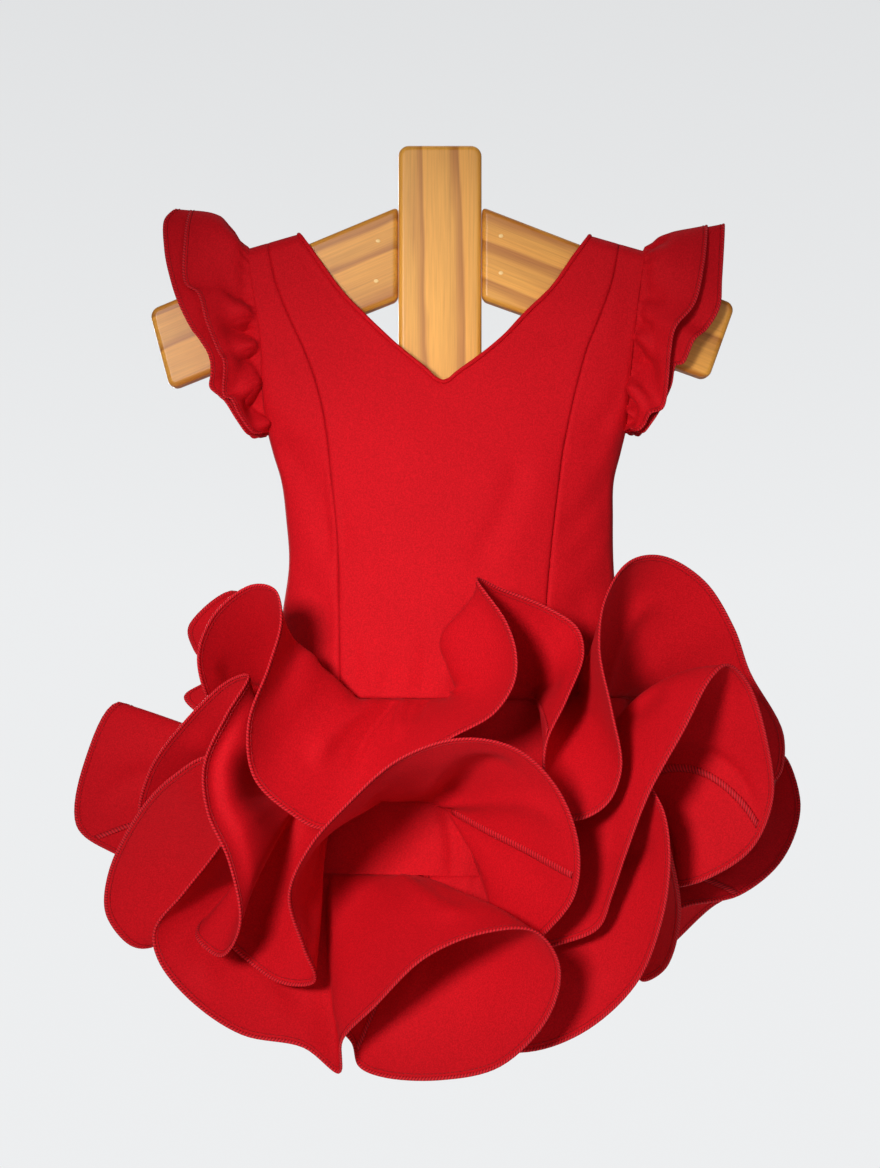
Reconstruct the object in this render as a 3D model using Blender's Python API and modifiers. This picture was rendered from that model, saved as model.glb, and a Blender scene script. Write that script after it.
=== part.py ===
# Flamenco dress for a small child on a wooden hanger. Metres, +Z up. The dress faces -Y, and
# the origin is on the back of the hanger's post, where it meets its wall bracket.

import math
from collections import namedtuple

import bmesh
import bpy
import numpy as np

NAME = "flamenco_dress"
MM = 0.001

# Everything below is in millimetres until the last step of each piece.
CLOTH = 1.2
RUFFLE_CLOTH = 1.0
SEAM = 0.6
SIDE_SEAM = 0.9
SEAM_Y = -10.0

POST_HALF_WIDTH = 31.3
POST_TOP = 19.0
POST_FOOT = -250.0
BOARD = 20.0
POST_CORNER = 8.0
ARM_CORNER = 7.0
BOARD_ROUND = 3.5

BINDING_RADIUS = 1.6
NECK_STEPS = 8
ROLL = 10.0
CENTRE_BACK = 4.0
SKIRT_GAP = 0.9
FLOUNCE_GAP = 1.8
HEM_SOFTNESS = 0.5

# Outline of one arm of the hanger: across and up for its four corners.
ARM_RIGHT = {
    "inner top": (31.6, -27.0),
    "inner foot": (31.6, -97.0),
    "outer foot": (202.0, -157.7),
    "outer top": (222.5, -100.6),
}
ARM_LEFT = {
    "inner top": (-31.6, -27.0),
    "inner foot": (-31.6, -97.0),
    "outer foot": (-203.0, -165.0),
    "outer top": (-219.0, -105.0),
}

# Bodice from the hip seam up: the side edges and princess seams across, half the depth at
# the middle, and the share of that depth that the side or armhole edge keeps.
Section = namedtuple("Section", "z left princess_left princess_right right depth edge")
BODICE = (
    Section(-395, -128.0, -73.0, 78.0, 140.0, 55.0, 0.00),
    Section(-364, -123.3, -74.0, 78.3, 136.6, 53.0, 0.00),
    Section(-330, -118.0, -74.7, 78.5, 132.9, 50.0, 0.00),
    Section(-295, -113.5, -75.3, 81.4, 130.2, 46.3, 0.00),
    Section(-262, -115.6, -77.5, 85.1, 129.7, 42.7, 0.00),
    Section(-232, -119.5, -80.9, 89.0, 130.5, 39.2, 0.00),
    Section(-210, -126.0, -83.0, 91.9, 135.8, 37.0, 0.00),
    Section(-195, -129.3, -84.7, 94.9, 138.8, 35.3, 0.20),
    Section(-180, -131.2, -87.4, 98.0, 139.8, 32.5, 0.42),
    Section(-160, -133.0, -92.6, 102.9, 141.2, 29.5, 0.55),
    Section(-135, -133.7, -102.0, 110.0, 143.5, 25.2, 0.65),
    Section(-110, -136.7, -113.7, 120.0, 146.5, 21.0, 0.75),
    Section(-84, -141.0, -123.8, 129.3, 150.0, 15.8, 0.85),
    Section(-56, -144.3, -130.0, 135.0, 154.6, 12.0, 1.00),
)

# Shoulder line, across and up, from the left armhole to the right one.
SHOULDER = ((-146.0, -58.6), (-106.0, -47.0), (112.0, -48.0), (156.0, -60.6))

# Middle of the neck binding, across and up, shoulder to shoulder.
FRONT_NECK = (
    (-106.5, -47.5), (-101.5, -54.0), (-87.5, -74.0), (-71.5, -95.0), (-54.0, -113.0),
    (-30.0, -135.5), (-10.0, -152.0), (-2.5, -158.8), (3.0, -160.5), (7.0, -158.8),
    (11.5, -155.0), (28.5, -142.5), (46.5, -127.5), (65.0, -108.0), (84.0, -89.0),
    (101.0, -65.0), (113.0, -48.5),
)
BACK_NECK = (
    (-106.5, -47.5), (-97.0, -63.0), (-80.0, -91.0), (-59.0, -118.0), (-33.0, -145.0),
    (-7.0, -165.5), (4.0, -170.0), (14.0, -165.5), (39.0, -146.0), (65.0, -119.0),
    (86.0, -91.0), (104.0, -62.0), (113.0, -48.5),
)

# Skirt under the flounces, from the hip seam down: half width and half depth.
SKIRT = ((-395, 134.0, 55.0), (-470, 138.0, 57.0), (-524, 141.0, 59.0), (-540, 142.0, 60.0))
SKIRT_MIDDLE = 6.0

# Hems of the flounces, fold by fold. Each row is one place on the hem: the angle round the
# hip where its cloth is sewn (0 in front, growing to the right), where the hem hangs, and
# how far the cloth between bellies up.
TOP_SEAM = -395.0
TOP_FOLDS = {
    "left petal, foot": (
        (-34, -130, -148, -446, 5), (-28, -108, -146, -469, 5), (-20, -80, -140, -483, 5)),
    "valley": (
        (-14, -48, -128, -456, 5), (-8, -14, -140, -432, 5), (-3, 10, -152, -417, 5)),
    "middle petal, left side": (
        (0, 37, -160, -401, 5), (3, 51, -160, -380, 5), (5, 53, -156, -360, 5),
        (7, 46, -148, -337, 5)),
    "middle petal, tip": (
        (9, 26, -128, -307, 5), (12, 43, -112, -314, 5), (16, 76, -104, -327, 5),
        (20, 98, -108, -342, 5)),
    "middle petal, right side": (
        (23, 102, -118, -361, 5), (26, 89, -132, -393, 5), (29, 74, -142, -425, 5),
        (32, 75, -148, -455, 5)),
    "valley before the right petal": (
        (35, 92, -152, -475, 5), (38, 115, -155, -465, 5), (41, 126, -154, -440, 5)),
    "right petal, rise": (
        (44, 120, -148, -400, 5), (47, 112, -138, -357, 5), (50, 117, -126, -321, 5)),
    "right petal, top": (
        (54, 135, -112, -295, 5), (59, 160, -98, -291, 5), (64, 192, -82, -309, 5),
        (69, 215, -68, -343, 5)),
    "right petal, fall": (
        (75, 229, -50, -376, 5), (81, 257, -28, -424, 5), (87, 255, -10, -458, 5)),
    "right side": (
        (95, 237, 8, -457, 0), (104, 240, 45, -445, 0), (113, 230, 80, -390, 0),
        (120, 208, 98, -440, 0)),
    "first back flute": (
        (127, 175, 99, -493, 0), (135, 163, 132, -435, 0), (144, 133, 160, -355, 0),
        (153, 90, 159, -430, 0)),
    "second back flute": (
        (162, 49, 140, -493, 0), (171, 8, 165, -435, 0), (180, -38, 172, -357, 0),
        (189, -72, 152, -430, 0)),
    "third back flute": (
        (198, -96, 120, -491, 0), (208, -146, 116, -425, 0), (218, -163, 92, -317, 5),
        (227, -198, 72, -343, 5)),
    "left side": (
        (236, -200, 50, -366, 5), (246, -195, 15, -400, 5), (256, -169, -25, -420, 5),
        (266, -160, -58, -411, 5)),
    "left petal, rise": (
        (276, -170, -82, -392, 5), (283, -175, -90, -362, 5), (289, -162, -100, -332, 5)),
    "left petal, top": (
        (295, -135, -112, -312, 5), (301, -117, -124, -315, 5), (307, -112, -134, -336, 5)),
    "left petal, right edge": (
        (313, -120, -142, -368, 5), (320, -134, -150, -409, 5)),
}

MIDDLE_SEAM = -470.0
MIDDLE_FOLDS = {
    "great arch, left side": (
        (-39, -88, -140, -590, 0), (-37, -95, -156, -564, 0), (-34, -104, -174, -525, 0),
        (-30, -89, -188, -490, -5)),
    "great arch, lip": (
        (-25, -65, -196, -462, -8), (-19, -28, -203, -429, -10), (-13, 13, -206, -415, -10),
        (-9, 51, -200, -422, -5)),
    "great arch, right side": (
        (-7, 80, -190, -450, 0), (-5, 95, -178, -490, 0), (-4, 93, -165, -526, 0),
        (-3, 76, -150, -552, 0)),
    "great arch, turn": (
        (-2, 60, -134, -567, 0), (0, 44, -115, -571, 0), (4, 57, -102, -576, 0),
        (11, 85, -113, -568, 0)),
    "slope to the right": (
        (19, 112, -128, -554, 5), (27, 121, -138, -529, 10), (33, 130, -148, -499, 15),
        (38, 146, -152, -456, 22)),
    "right petal, tip": (
        (43, 170, -150, -413, 28), (46, 190, -142, -377, 30), (49, 203, -132, -368, 30),
        (52, 220, -118, -383, 30)),
    "right petal, fall": (
        (55, 234, -108, -424, 32), (58, 239, -100, -466, 34), (61, 224, -96, -502, 34),
        (64, 192, -92, -524, 30)),
    "right petal, turn": (
        (68, 172, -76, -531, 22), (73, 186, -54, -520, 15), (80, 217, -28, -506, 12),
        (87, 242, 5, -480, 10)),
    "right side": (
        (94, 239, 45, -463, 8), (102, 255, 39, -478, 5), (110, 242, 66, -520, 5),
        (118, 226, 94, -515, 5)),
    "first back flute": (
        (126, 186, 99, -565, 5), (135, 166, 135, -515, 5), (144, 138, 169, -462, 5),
        (153, 93, 163, -515, 5)),
    "second back flute": (
        (162, 50, 146, -565, 5), (171, 9, 167, -515, 5), (180, -40, 181, -462, 5),
        (189, -74, 157, -515, 5)),
    "third back flute": (
        (198, -99, 125, -565, 5), (207, -147, 122, -520, 5), (216, -190, 108, -485, 5)),
    "left wing": (
        (226, -253, 60, -404, 5), (236, -277, 45, -450, 5), (246, -280, 25, -497, 5),
        (254, -252, 8, -515, 5)),
    "left wing, turn": (
        (260, -219, -12, -521, 5), (265, -205, -30, -507, 5), (271, -223, -42, -486, 5)),
    "left arch": (
        (277, -214, -58, -448, 5), (283, -185, -80, -410, 5), (288, -152, -104, -380, 5)),
    "left petal, fall": (
        (292, -136, -120, -376, 5), (295, -151, -130, -403, 5), (298, -166, -138, -438, 5),
        (301, -163, -145, -470, 5)),
    "left petal, foot": (
        (305, -147, -154, -504, 10), (308.5, -139, -158, -547, 10),
        (309.7, -153, -141, -572, 6), (310.9, -173, -120, -562, 2)),
    "left petal, turn": (
        (312.2, -169, -99, -554, -4), (315, -144, -100, -577, -4), (318.5, -113, -122, -594, 0)),
}

BOTTOM_SEAM = -524.0
BOTTOM_FOLDS = {
    "left fan": (
        (-66, -202, -106, -579, 5), (-62, -178, -118, -606, 5), (-56, -140, -128, -629, 5),
        (-48, -96, -134, -637, 5)),
    "front arch, left side": (
        (-40, -71, -140, -654, 5), (-36, -68, -156, -628, 5), (-31, -45, -170, -602, 5)),
    "front arch, lip": (
        (-24, -10, -184, -566, 5), (-16, 31, -190, -548, 5), (-11, 65, -186, -548, 5)),
    "front arch, right side": (
        (-9, 82, -176, -573, 0), (-8, 75, -164, -610, 0), (-7, 42, -150, -647, 0)),
    "front arch, foot": (
        (-6, 0, -138, -659, 0), (-5, -42, -126, -659, 0), (-4, -58, -118, -653, 0)),
    "front arch, turn": (
        (-3, -63, -108, -639, 0), (-1, -75, -98, -626, 0), (3, -54, -88, -619, 0),
        (9, 0, -92, -636, 0)),
    "slope to the right": (
        (14, 57, -106, -646, 0), (23, 100, -115, -631, 0), (31, 138, -128, -594, 5)),
    "right petal, rise": (
        (38, 155, -138, -550, 8), (43, 161, -142, -506, 12), (47, 157, -142, -471, 12)),
    "right petal, top": (
        (51, 146, -132, -450, 10), (55, 154, -115, -468, 5), (59, 167, -100, -509, 2)),
    "right valley": (
        (64, 174, -85, -551, 0), (70, 165, -68, -592, 0), (76, 148, -48, -604, 0),
        (81, 152, -40, -572, 0)),
    "right wing": (
        (85, 180, -34, -553, 0), (90, 225, -20, -545, 3), (95, 260, -5, -519, 5),
        (100, 276, 14, -480, 5)),
    "right side": (
        (105, 272, 38, -480, 5), (110, 247, 73, -549, 5), (116, 215, 85, -569, 5),
        (122, 178, 88, -604, 0)),
    "first back flute": (
        (128, 154, 90, -619, 0), (136, 160, 125, -614, 0), (145, 134, 162, -559, 5),
        (154, 89, 151, -614, 5)),
    "second back flute": (
        (163, 49, 128, -649, 0), (172, 9, 155, -614, 0), (181, -39, 174, -559, 5),
        (190, -70, 145, -614, 5)),
    "third back flute": (
        (199, -90, 110, -649, 0), (208, -138, 112, -619, 0), (217, -175, 95, -599, 5)),
    "left side": (
        (228, -191, 63, -619, 0), (238, -184, 36, -619, 0), (246, -204, 25, -574, 0),
        (253, -220, 0, -587, 0)),
    "left wing": (
        (259, -234, -10, -584, 0), (264, -251, -18, -560, 3), (268, -248, -30, -528, 5)),
    "left arch": (
        (272, -222, -58, -479, 5), (276, -195, -78, -451, 5), (280, -167, -82, -436, 5),
        (284, -147, -82, -456, 5)),
    "left petal, fall": (
        (287, -147, -92, -478, 5), (289, -159, -106, -500, 5), (291, -184, -108, -532, 5),
        (292.5, -205, -105, -559, 5)),
}

# Front halves of the sleeve ruffles' hems, from the underarm up to the shoulder: share of
# the way round the armhole, then where the hem is. The back halves mirror them.
SLEEVES = {
    "sleeve_upper_right": (
        (0.000, 142, -31, -194), (0.040, 147, -38, -197), (0.080, 152, -42, -193),
        (0.120, 156, -47, -185), (0.165, 166, -44, -180), (0.215, 169, -50, -158),
        (0.265, 171, -45, -140), (0.315, 174, -51, -122), (0.370, 189, -44, -103),
        (0.430, 197, -34, -73), (0.500, 202, -10, -40)),
    "sleeve_under_right": (
        (0.000, 147, -24, -196), (0.050, 152, -31, -198), (0.100, 157, -37, -192),
        (0.150, 164, -39, -181), (0.200, 172, -43, -163), (0.240, 175, -39, -149),
        (0.280, 182, -38, -146), (0.320, 189, -43, -130), (0.360, 199, -37, -121),
        (0.400, 208, -36, -106), (0.450, 211, -28, -82), (0.500, 215, -10, -39)),
    "sleeve_upper_left": (
        (0.000, -133, -31, -198), (0.040, -140, -38, -198), (0.080, -149, -43, -186),
        (0.120, -155, -47, -174), (0.150, -161, -43, -171), (0.190, -160, -50, -148),
        (0.230, -165, -45, -138), (0.280, -173, -50, -117), (0.330, -180, -44, -95),
        (0.370, -190, -40, -87), (0.430, -191, -30, -50), (0.500, -189, -10, -29)),
    "sleeve_under_left": (
        (0.000, -138, -24, -199), (0.050, -144, -32, -199), (0.100, -152, -38, -188),
        (0.150, -162, -38, -173), (0.180, -171, -41, -165), (0.210, -170, -43, -154),
        (0.245, -172, -39, -141), (0.280, -179, -38, -129), (0.310, -185, -41, -121),
        (0.345, -194, -42, -103), (0.385, -201, -36, -83), (0.430, -206, -30, -60),
        (0.470, -207, -20, -37), (0.500, -200, -10, -28)),
}
ARMHOLE_FOOT = -197.0
ROOT_OUT = 2.0
UPPER_LIFT = 2.0

RED = (0.578, 0.007, 0.017, 1.0)
TRIM_RED = (0.650, 0.012, 0.026, 1.0)
HONEY = (0.610, 0.305, 0.070, 1.0)


def clear_scene():
    for item in list(bpy.data.objects):
        bpy.data.objects.remove(item, do_unlink=True)


def material(name, colour, roughness):
    made = bpy.data.materials.new(name)
    made.use_nodes = True
    shader = made.node_tree.nodes["Principled BSDF"]
    shader.inputs["Base Color"].default_value = colour
    shader.inputs["Roughness"].default_value = roughness
    shader.inputs["Metallic"].default_value = 0.0
    return made


def through(x, xs, ys):
    """Smooth curve through the rows (xs, ys), whose slopes come from the rows beside."""
    xs, ys = np.asarray(xs, float), np.asarray(ys, float)
    slopes = np.gradient(ys, xs)
    k = np.clip(np.searchsorted(xs, x) - 1, 0, len(xs) - 2)
    width = xs[k + 1] - xs[k]
    t = np.clip((x - xs[k]) / width, 0, 1)
    blend = t * t * (3 - 2 * t)
    bend = t * (1 - t) * ((1 - t) * slopes[k] - t * slopes[k + 1])
    return ys[k] * (1 - blend) + ys[k + 1] * blend + width * bend


def section(column, z):
    """A column of the bodice's sections at height z."""
    return through(z, [row.z for row in BODICE], [getattr(row, column) for row in BODICE])


def shoulder_z(x):
    across, up = zip(*SHOULDER)
    return np.interp(x, across, up)


def bodice_y(x, z, side):
    """Depth of the bodice's cloth at (x, z), on the front (-1) or the back (1)."""
    left, right = section("left", z), section("right", z)
    s = np.clip((2 * x - left - right) / (right - left), -1, 1)
    edge = np.clip(section("edge", z), 0, 1)
    fall = np.clip((shoulder_z(x) - z) / ROLL, 0, 1)
    rolled = np.sqrt(1 - (1 - fall) ** 2)
    half = section("depth", z) * (edge + (1 - edge) * np.sqrt(1 - s * s)) * rolled
    return SEAM_Y + side * np.maximum(half, SIDE_SEAM / 2)


def neck_line(rows, count):
    """The neckline, shoulder to shoulder, with points closer at its ends and at its V."""
    x, z = np.array(rows).T
    run = np.concatenate(([0], np.cumsum(np.hypot(np.diff(x), np.diff(z)))))
    low = run[np.argmin(z)]
    half = (1 - np.cos(np.linspace(0, math.pi, count + 1))) / 2
    at = np.concatenate((low * half, low + (run[-1] - low) * half[1:]))
    return np.column_stack((through(at, run, x), through(at, run, z)))


def panel_edge(rows, count):
    """Top edge of a panel beside the neckline: just outside the binding."""
    line = neck_line(rows, count)
    step = np.gradient(line, axis=0)
    step /= np.linalg.norm(step, axis=1, keepdims=True)
    return line + (BINDING_RADIUS + SEAM) * np.column_stack((step[:, 1], -step[:, 0]))


def shoulder_edge(start, end, count):
    x = np.linspace(start, end, count + 1)
    return np.column_stack((x, shoulder_z(x)))


def panel(first, last, top, side, rows):
    """A bodice panel: columns from the edge first(z) to last(z), from the hip up to top."""
    hip = BODICE[0].z
    turns = math.pi / 6 * np.arange(2, -1, -1)
    low = np.linspace(0, 1, rows - 2)
    height = top[:, 1:] - hip
    z = np.hstack((hip + (height - ROLL) * low, top[:, 1:] - ROLL * (1 - np.cos(turns))))
    middle = (section("left", hip) + section("right", hip)) / 2
    half = (section("right", hip) - section("left", hip)) / 2
    ends = np.arcsin(np.clip([(first(hip) - middle) / half, (last(hip) - middle) / half], -1, 1))
    foot = middle + half * np.sin(np.linspace(ends[0], ends[1], len(top)))
    foot_share = (foot - first(hip)) / (last(hip) - first(hip))
    top_share = (top[:, 0] - first(top[:, 1])) / (last(top[:, 1]) - first(top[:, 1]))
    rise = (z - hip) / height
    share = foot_share[:, None] * (1 - rise) + top_share[:, None] * rise
    x = first(z) + share * (last(z) - first(z))
    return np.stack((x, bodice_y(x, z, side), z), axis=-1)


def bodice_panels():
    def edge(column, shift=0.0):
        return lambda z: section(column, z) + shift

    def centre(shift):
        return lambda z: np.full(np.shape(z), CENTRE_BACK + shift)

    top_z = BODICE[-1].z
    left, right = section("left", top_z), section("right", top_z)
    seam_left, seam_right = section("princess_left", top_z), section("princess_right", top_z)
    front = panel_edge(FRONT_NECK, NECK_STEPS)
    back = panel_edge(BACK_NECK, NECK_STEPS)
    neck_left, neck_right = front[0, 0] - SEAM, front[-1, 0] + SEAM
    half = SEAM / 2
    v_point = np.argmin(back[:, 1])

    front_top = np.vstack((
        shoulder_edge(seam_left + half, neck_left, 2), front[1:-1],
        shoulder_edge(neck_right, seam_right - half, 2)))
    back_left_top = np.vstack((
        shoulder_edge(left, neck_left, 3), back[1:v_point],
        (CENTRE_BACK - half, back[v_point, 1])))
    back_right_top = np.vstack((
        (CENTRE_BACK + half, back[v_point, 1]), back[v_point + 1:-1],
        shoulder_edge(neck_right, right, 3)))
    side_left_top = shoulder_edge(left, seam_left - half, 4)
    side_right_top = shoulder_edge(seam_right + half, right, 4)
    return {
        "front_centre": panel(
            edge("princess_left", half), edge("princess_right", -half), front_top, -1, 13),
        "front_side_left": panel(
            edge("left"), edge("princess_left", -half), side_left_top, -1, 13),
        "front_side_right": panel(
            edge("princess_right", half), edge("right"), side_right_top, -1, 13),
        "back_left": panel(edge("left"), centre(-half), back_left_top, 1, 13),
        "back_right": panel(centre(half), edge("right"), back_right_top, 1, 13),
    }


def hip_ring(angle, z, out=0.0):
    """Points of the skirt at angles round it, moved out along its normal."""
    heights, widths, depths = np.array(SKIRT[::-1]).T
    a, b = np.interp(z, heights, widths), np.interp(z, heights, depths)
    turn = np.radians(angle)
    normal = np.stack((np.sin(turn) / a, -np.cos(turn) / b), axis=-1)
    normal /= np.linalg.norm(normal, axis=-1, keepdims=True)
    x = SKIRT_MIDDLE + a * np.sin(turn) + out * normal[..., 0]
    y = SEAM_Y - b * np.cos(turn) + out * normal[..., 1]
    return np.stack((x, y, np.broadcast_to(z, np.shape(x))), axis=-1)


def skirt_half(turn, columns, rows):
    """Front or back of the skirt, between the side seams, down from the hip seam."""
    margin = math.degrees(SIDE_SEAM / 2 / SKIRT[0][2])
    angles = turn + np.linspace(-90 + margin, 90 - margin, columns + 1)
    heights = np.linspace(SKIRT[0][0] - SKIRT_GAP, SKIRT[-1][0], rows + 1)
    return np.stack([hip_ring(angles, z) for z in heights], axis=1)


def closed_curve(points, count):
    """Smooth closed curve through the points, count steps from each to the next."""
    steps = np.linspace(0, 1, count, endpoint=False)[:, None]
    curve = []
    for k in range(len(points)):
        p = [points[(k + j) % len(points)] for j in (-1, 0, 1, 2)]
        gaps = [np.linalg.norm(p[j + 1] - p[j]) ** HEM_SOFTNESS for j in range(3)]
        t0, t1, t2, t3 = np.cumsum([0] + gaps)
        t = t1 + (t2 - t1) * steps
        a1 = p[0] + (p[1] - p[0]) * (t - t0) / (t1 - t0)
        a2 = p[1] + (p[2] - p[1]) * (t - t1) / (t2 - t1)
        a3 = p[2] + (p[3] - p[2]) * (t - t2) / (t3 - t2)
        b1 = a1 + (a2 - a1) * (t - t0) / (t2 - t0)
        b2 = a2 + (a3 - a2) * (t - t1) / (t3 - t1)
        curve.append(b1 + (b2 - b1) * (t - t1) / (t2 - t1))
    return np.concatenate(curve)


def flounce(seam_z, folds, per_row, rows):
    """A flounce: cloth from the seam round the hip out to its hem, as a closed grid."""
    table = np.array([row for fold in folds.values() for row in fold])
    hem = closed_curve(table[:, 1:4], per_row)
    at = np.arange(len(hem)) / per_row
    whole = np.arange(len(table) + 1)
    angle = np.interp(at, whole, np.append(table[:, 0], table[0, 0] + 360))
    belly = np.interp(at, whole, np.append(table[:, 4], table[0, 4]))[:, None, None]
    root = hip_ring(angle, seam_z, FLOUNCE_GAP)
    chord = hem - root
    chord /= np.linalg.norm(chord, axis=1, keepdims=True)
    up = np.array((0, 0, 1)) - chord * chord[:, 2:]
    up /= np.linalg.norm(up, axis=1, keepdims=True)
    v = np.linspace(0, 1, rows + 1)[None, :, None]
    return root[:, None] * (1 - v) + hem[:, None] * v + 4 * v * (1 - v) * belly * up[:, None]


def armhole(column, lift, count):
    """Where a ruffle is sewn: up the front of the armhole, over the shoulder and down."""
    outward = 1 if column == "right" else -1
    top = shoulder_z(section(column, BODICE[-1].z))
    turns = np.linspace(math.pi / 2, 0, 5)
    z = np.concatenate((
        np.linspace(ARMHOLE_FOOT, top - ROLL, 9)[:-1], top - ROLL * (1 - np.cos(turns))))
    x = section(column, z)
    y = bodice_y(x, z, -1)
    over = np.clip((shoulder_z(x) - z) / ROLL, 0, 1)
    front = np.column_stack((
        x + outward * ROOT_OUT, y - lift * np.sqrt(over), z + lift * (1 - over)))
    back = front[-2::-1] * (1, -1, 1) + (0, 2 * SEAM_Y, 0)
    path = np.vstack((front, back))
    run = np.concatenate(([0], np.cumsum(np.linalg.norm(np.diff(path, axis=0), axis=1))))
    at = np.linspace(0, 1, count + 1) * run[-1]
    return np.column_stack([np.interp(at, run, line) for line in path.T])


def ruffle(name, count, rows):
    """A sleeve ruffle: cloth from the armhole out to its hem, as an open grid."""
    front = np.array(SLEEVES[name])
    back = front[-2::-1] * (-1, 1, -1, 1) + (1, 0, 2 * SEAM_Y, 0)
    table = np.vstack((front, back))
    share = np.linspace(0, 1, count + 1)
    hem = np.column_stack([through(share, table[:, 0], line) for line in table[:, 1:].T])
    column = "right" if name.endswith("right") else "left"
    root = armhole(column, UPPER_LIFT if "upper" in name else 0.0, count)
    v = np.linspace(0, 1, rows + 1)[None, :, None]
    return root[:, None] * (1 - v) + hem[:, None] * v


def link(name, data, collection, look):
    made = bpy.data.objects.new(name, data)
    data.materials.append(look)
    collection.objects.link(made)
    return made


def cloth(name, grid, wall, collection, look):
    """A cloth piece: a flat grid carried to its place, sewn round if it closes, thickened."""
    across, along = grid.shape[0] - 1, grid.shape[1] - 1
    sheet = bmesh.new()
    bmesh.ops.create_grid(sheet, x_segments=across, y_segments=along, size=0.5)
    for vert in sheet.verts:
        column = round((vert.co.x + 0.5) * across)
        row = round((vert.co.y + 0.5) * along)
        vert.co = grid[column, row] * MM
    bmesh.ops.remove_doubles(sheet, verts=sheet.verts, dist=0.00001)
    mesh = bpy.data.meshes.new(name)
    sheet.to_mesh(mesh)
    sheet.free()
    mesh.shade_smooth()
    made = link(name, mesh, collection, look)
    thick = made.modifiers.new("Cloth", "SOLIDIFY")
    thick.thickness = wall * MM
    thick.offset = 0.0
    return made


def ring_closed(grid):
    """The grid with its first column again at its end, so that its edges meet."""
    return np.concatenate((grid, grid[:1]))


def binding(collection, look):
    """Round cord of cloth along the neckline, front and back."""
    front, back = neck_line(FRONT_NECK, NECK_STEPS), neck_line(BACK_NECK, NECK_STEPS)[-2:0:-1]
    path = np.vstack((
        np.column_stack((front[:, 0], bodice_y(front[:, 0], front[:, 1], -1), front[:, 1])),
        np.column_stack((back[:, 0], bodice_y(back[:, 0], back[:, 1], 1), back[:, 1]))))
    curve = bpy.data.curves.new("neck_binding", "CURVE")
    curve.dimensions = "3D"
    curve.bevel_depth = BINDING_RADIUS * MM
    curve.bevel_resolution = 1
    curve.render_resolution_u = 0
    cord = curve.splines.new("POLY")
    cord.points.add(len(path) - 1)
    for point, place in zip(cord.points, path * MM):
        point.co = (*place, 1.0)
    cord.use_cyclic_u = True
    return link("neck_binding", curve, collection, look)


def board(name, corners, radii, collection, look):
    """A board of the hanger: a box carried to four corners, its outline and edges rounded."""
    shape = bmesh.new()
    bmesh.ops.create_cube(shape, size=1.0)
    for vert in shape.verts:
        end = "outer" if vert.co.x > 0 else "inner"
        side = "top" if vert.co.z > 0 else "foot"
        x, z = corners[f"{end} {side}"]
        vert.co = (x * MM, (SEAM_Y + BOARD * vert.co.y) * MM, z * MM)
    bmesh.ops.recalc_face_normals(shape, faces=shape.faces)
    through_edges = [
        edge for edge in shape.edges
        if abs(edge.verts[0].co.y - edge.verts[1].co.y) > BOARD * MM / 2]
    for radius, inside in radii:
        chosen = [edge for edge in through_edges if edge.is_valid and inside(edge.verts[0].co.x)]
        bmesh.ops.bevel(
            shape, geom=chosen, offset=radius * MM, segments=4, profile=0.5, affect="EDGES")
    mesh = bpy.data.meshes.new(name)
    shape.to_mesh(mesh)
    shape.free()
    mesh.shade_smooth()
    made = link(name, mesh, collection, look)
    rounding = made.modifiers.new("Rounded edges", "BEVEL")
    rounding.width = BOARD_ROUND * MM
    rounding.segments = 2
    rounding.limit_method = "ANGLE"
    rounding.angle_limit = math.radians(40)
    return made


def hanger(collection):
    """The post, which stands behind the bodice, and the two sloping arms that butt it."""
    post = {
        "inner top": (-POST_HALF_WIDTH, POST_TOP), "outer top": (POST_HALF_WIDTH, POST_TOP),
        "inner foot": (-POST_HALF_WIDTH, POST_FOOT), "outer foot": (POST_HALF_WIDTH, POST_FOOT),
    }
    half_span = POST_HALF_WIDTH * MM * 2

    def at_tip(x):
        return abs(x) > half_span

    boards = (
        ("hanger_post", post, [(POST_CORNER, lambda x: True)]),
        ("hanger_arm_right", ARM_RIGHT, [(ARM_CORNER, at_tip)]),
        ("hanger_arm_left", ARM_LEFT, [(ARM_CORNER, at_tip)]),
    )
    for name, corners, radii in boards:
        board(name, corners, radii, collection, material(f"Honey {name}", HONEY, 0.35))


def main():
    clear_scene()
    dress = bpy.data.collections.new(NAME)
    bpy.context.scene.collection.children.link(dress)
    hanger(dress)
    for name, grid in bodice_panels().items():
        cloth(name, grid, CLOTH, dress, material(f"Red {name}", RED, 0.85))
    binding(dress, material("Red binding", TRIM_RED, 0.75))
    for name, middle in (("skirt_front", 0), ("skirt_back", 180)):
        grid = skirt_half(middle, 16, 3)
        cloth(name, grid, CLOTH, dress, material(f"Red {name}", RED, 0.85))
    flounces = (
        ("flounce_top", TOP_SEAM, TOP_FOLDS),
        ("flounce_middle", MIDDLE_SEAM, MIDDLE_FOLDS),
        ("flounce_bottom", BOTTOM_SEAM, BOTTOM_FOLDS),
    )
    for name, seam_z, folds in flounces:
        grid = ring_closed(flounce(seam_z, folds, 2, 3))
        cloth(name, grid, CLOTH, dress, material(f"Red {name}", RED, 0.85))
    for name in SLEEVES:
        cloth(name, ruffle(name, 36, 2), RUFFLE_CLOTH, dress, material(f"Red {name}", RED, 0.85))


main()
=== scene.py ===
"""Red flamenco dress for a small child, hanging on a wooden hanger."""

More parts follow.
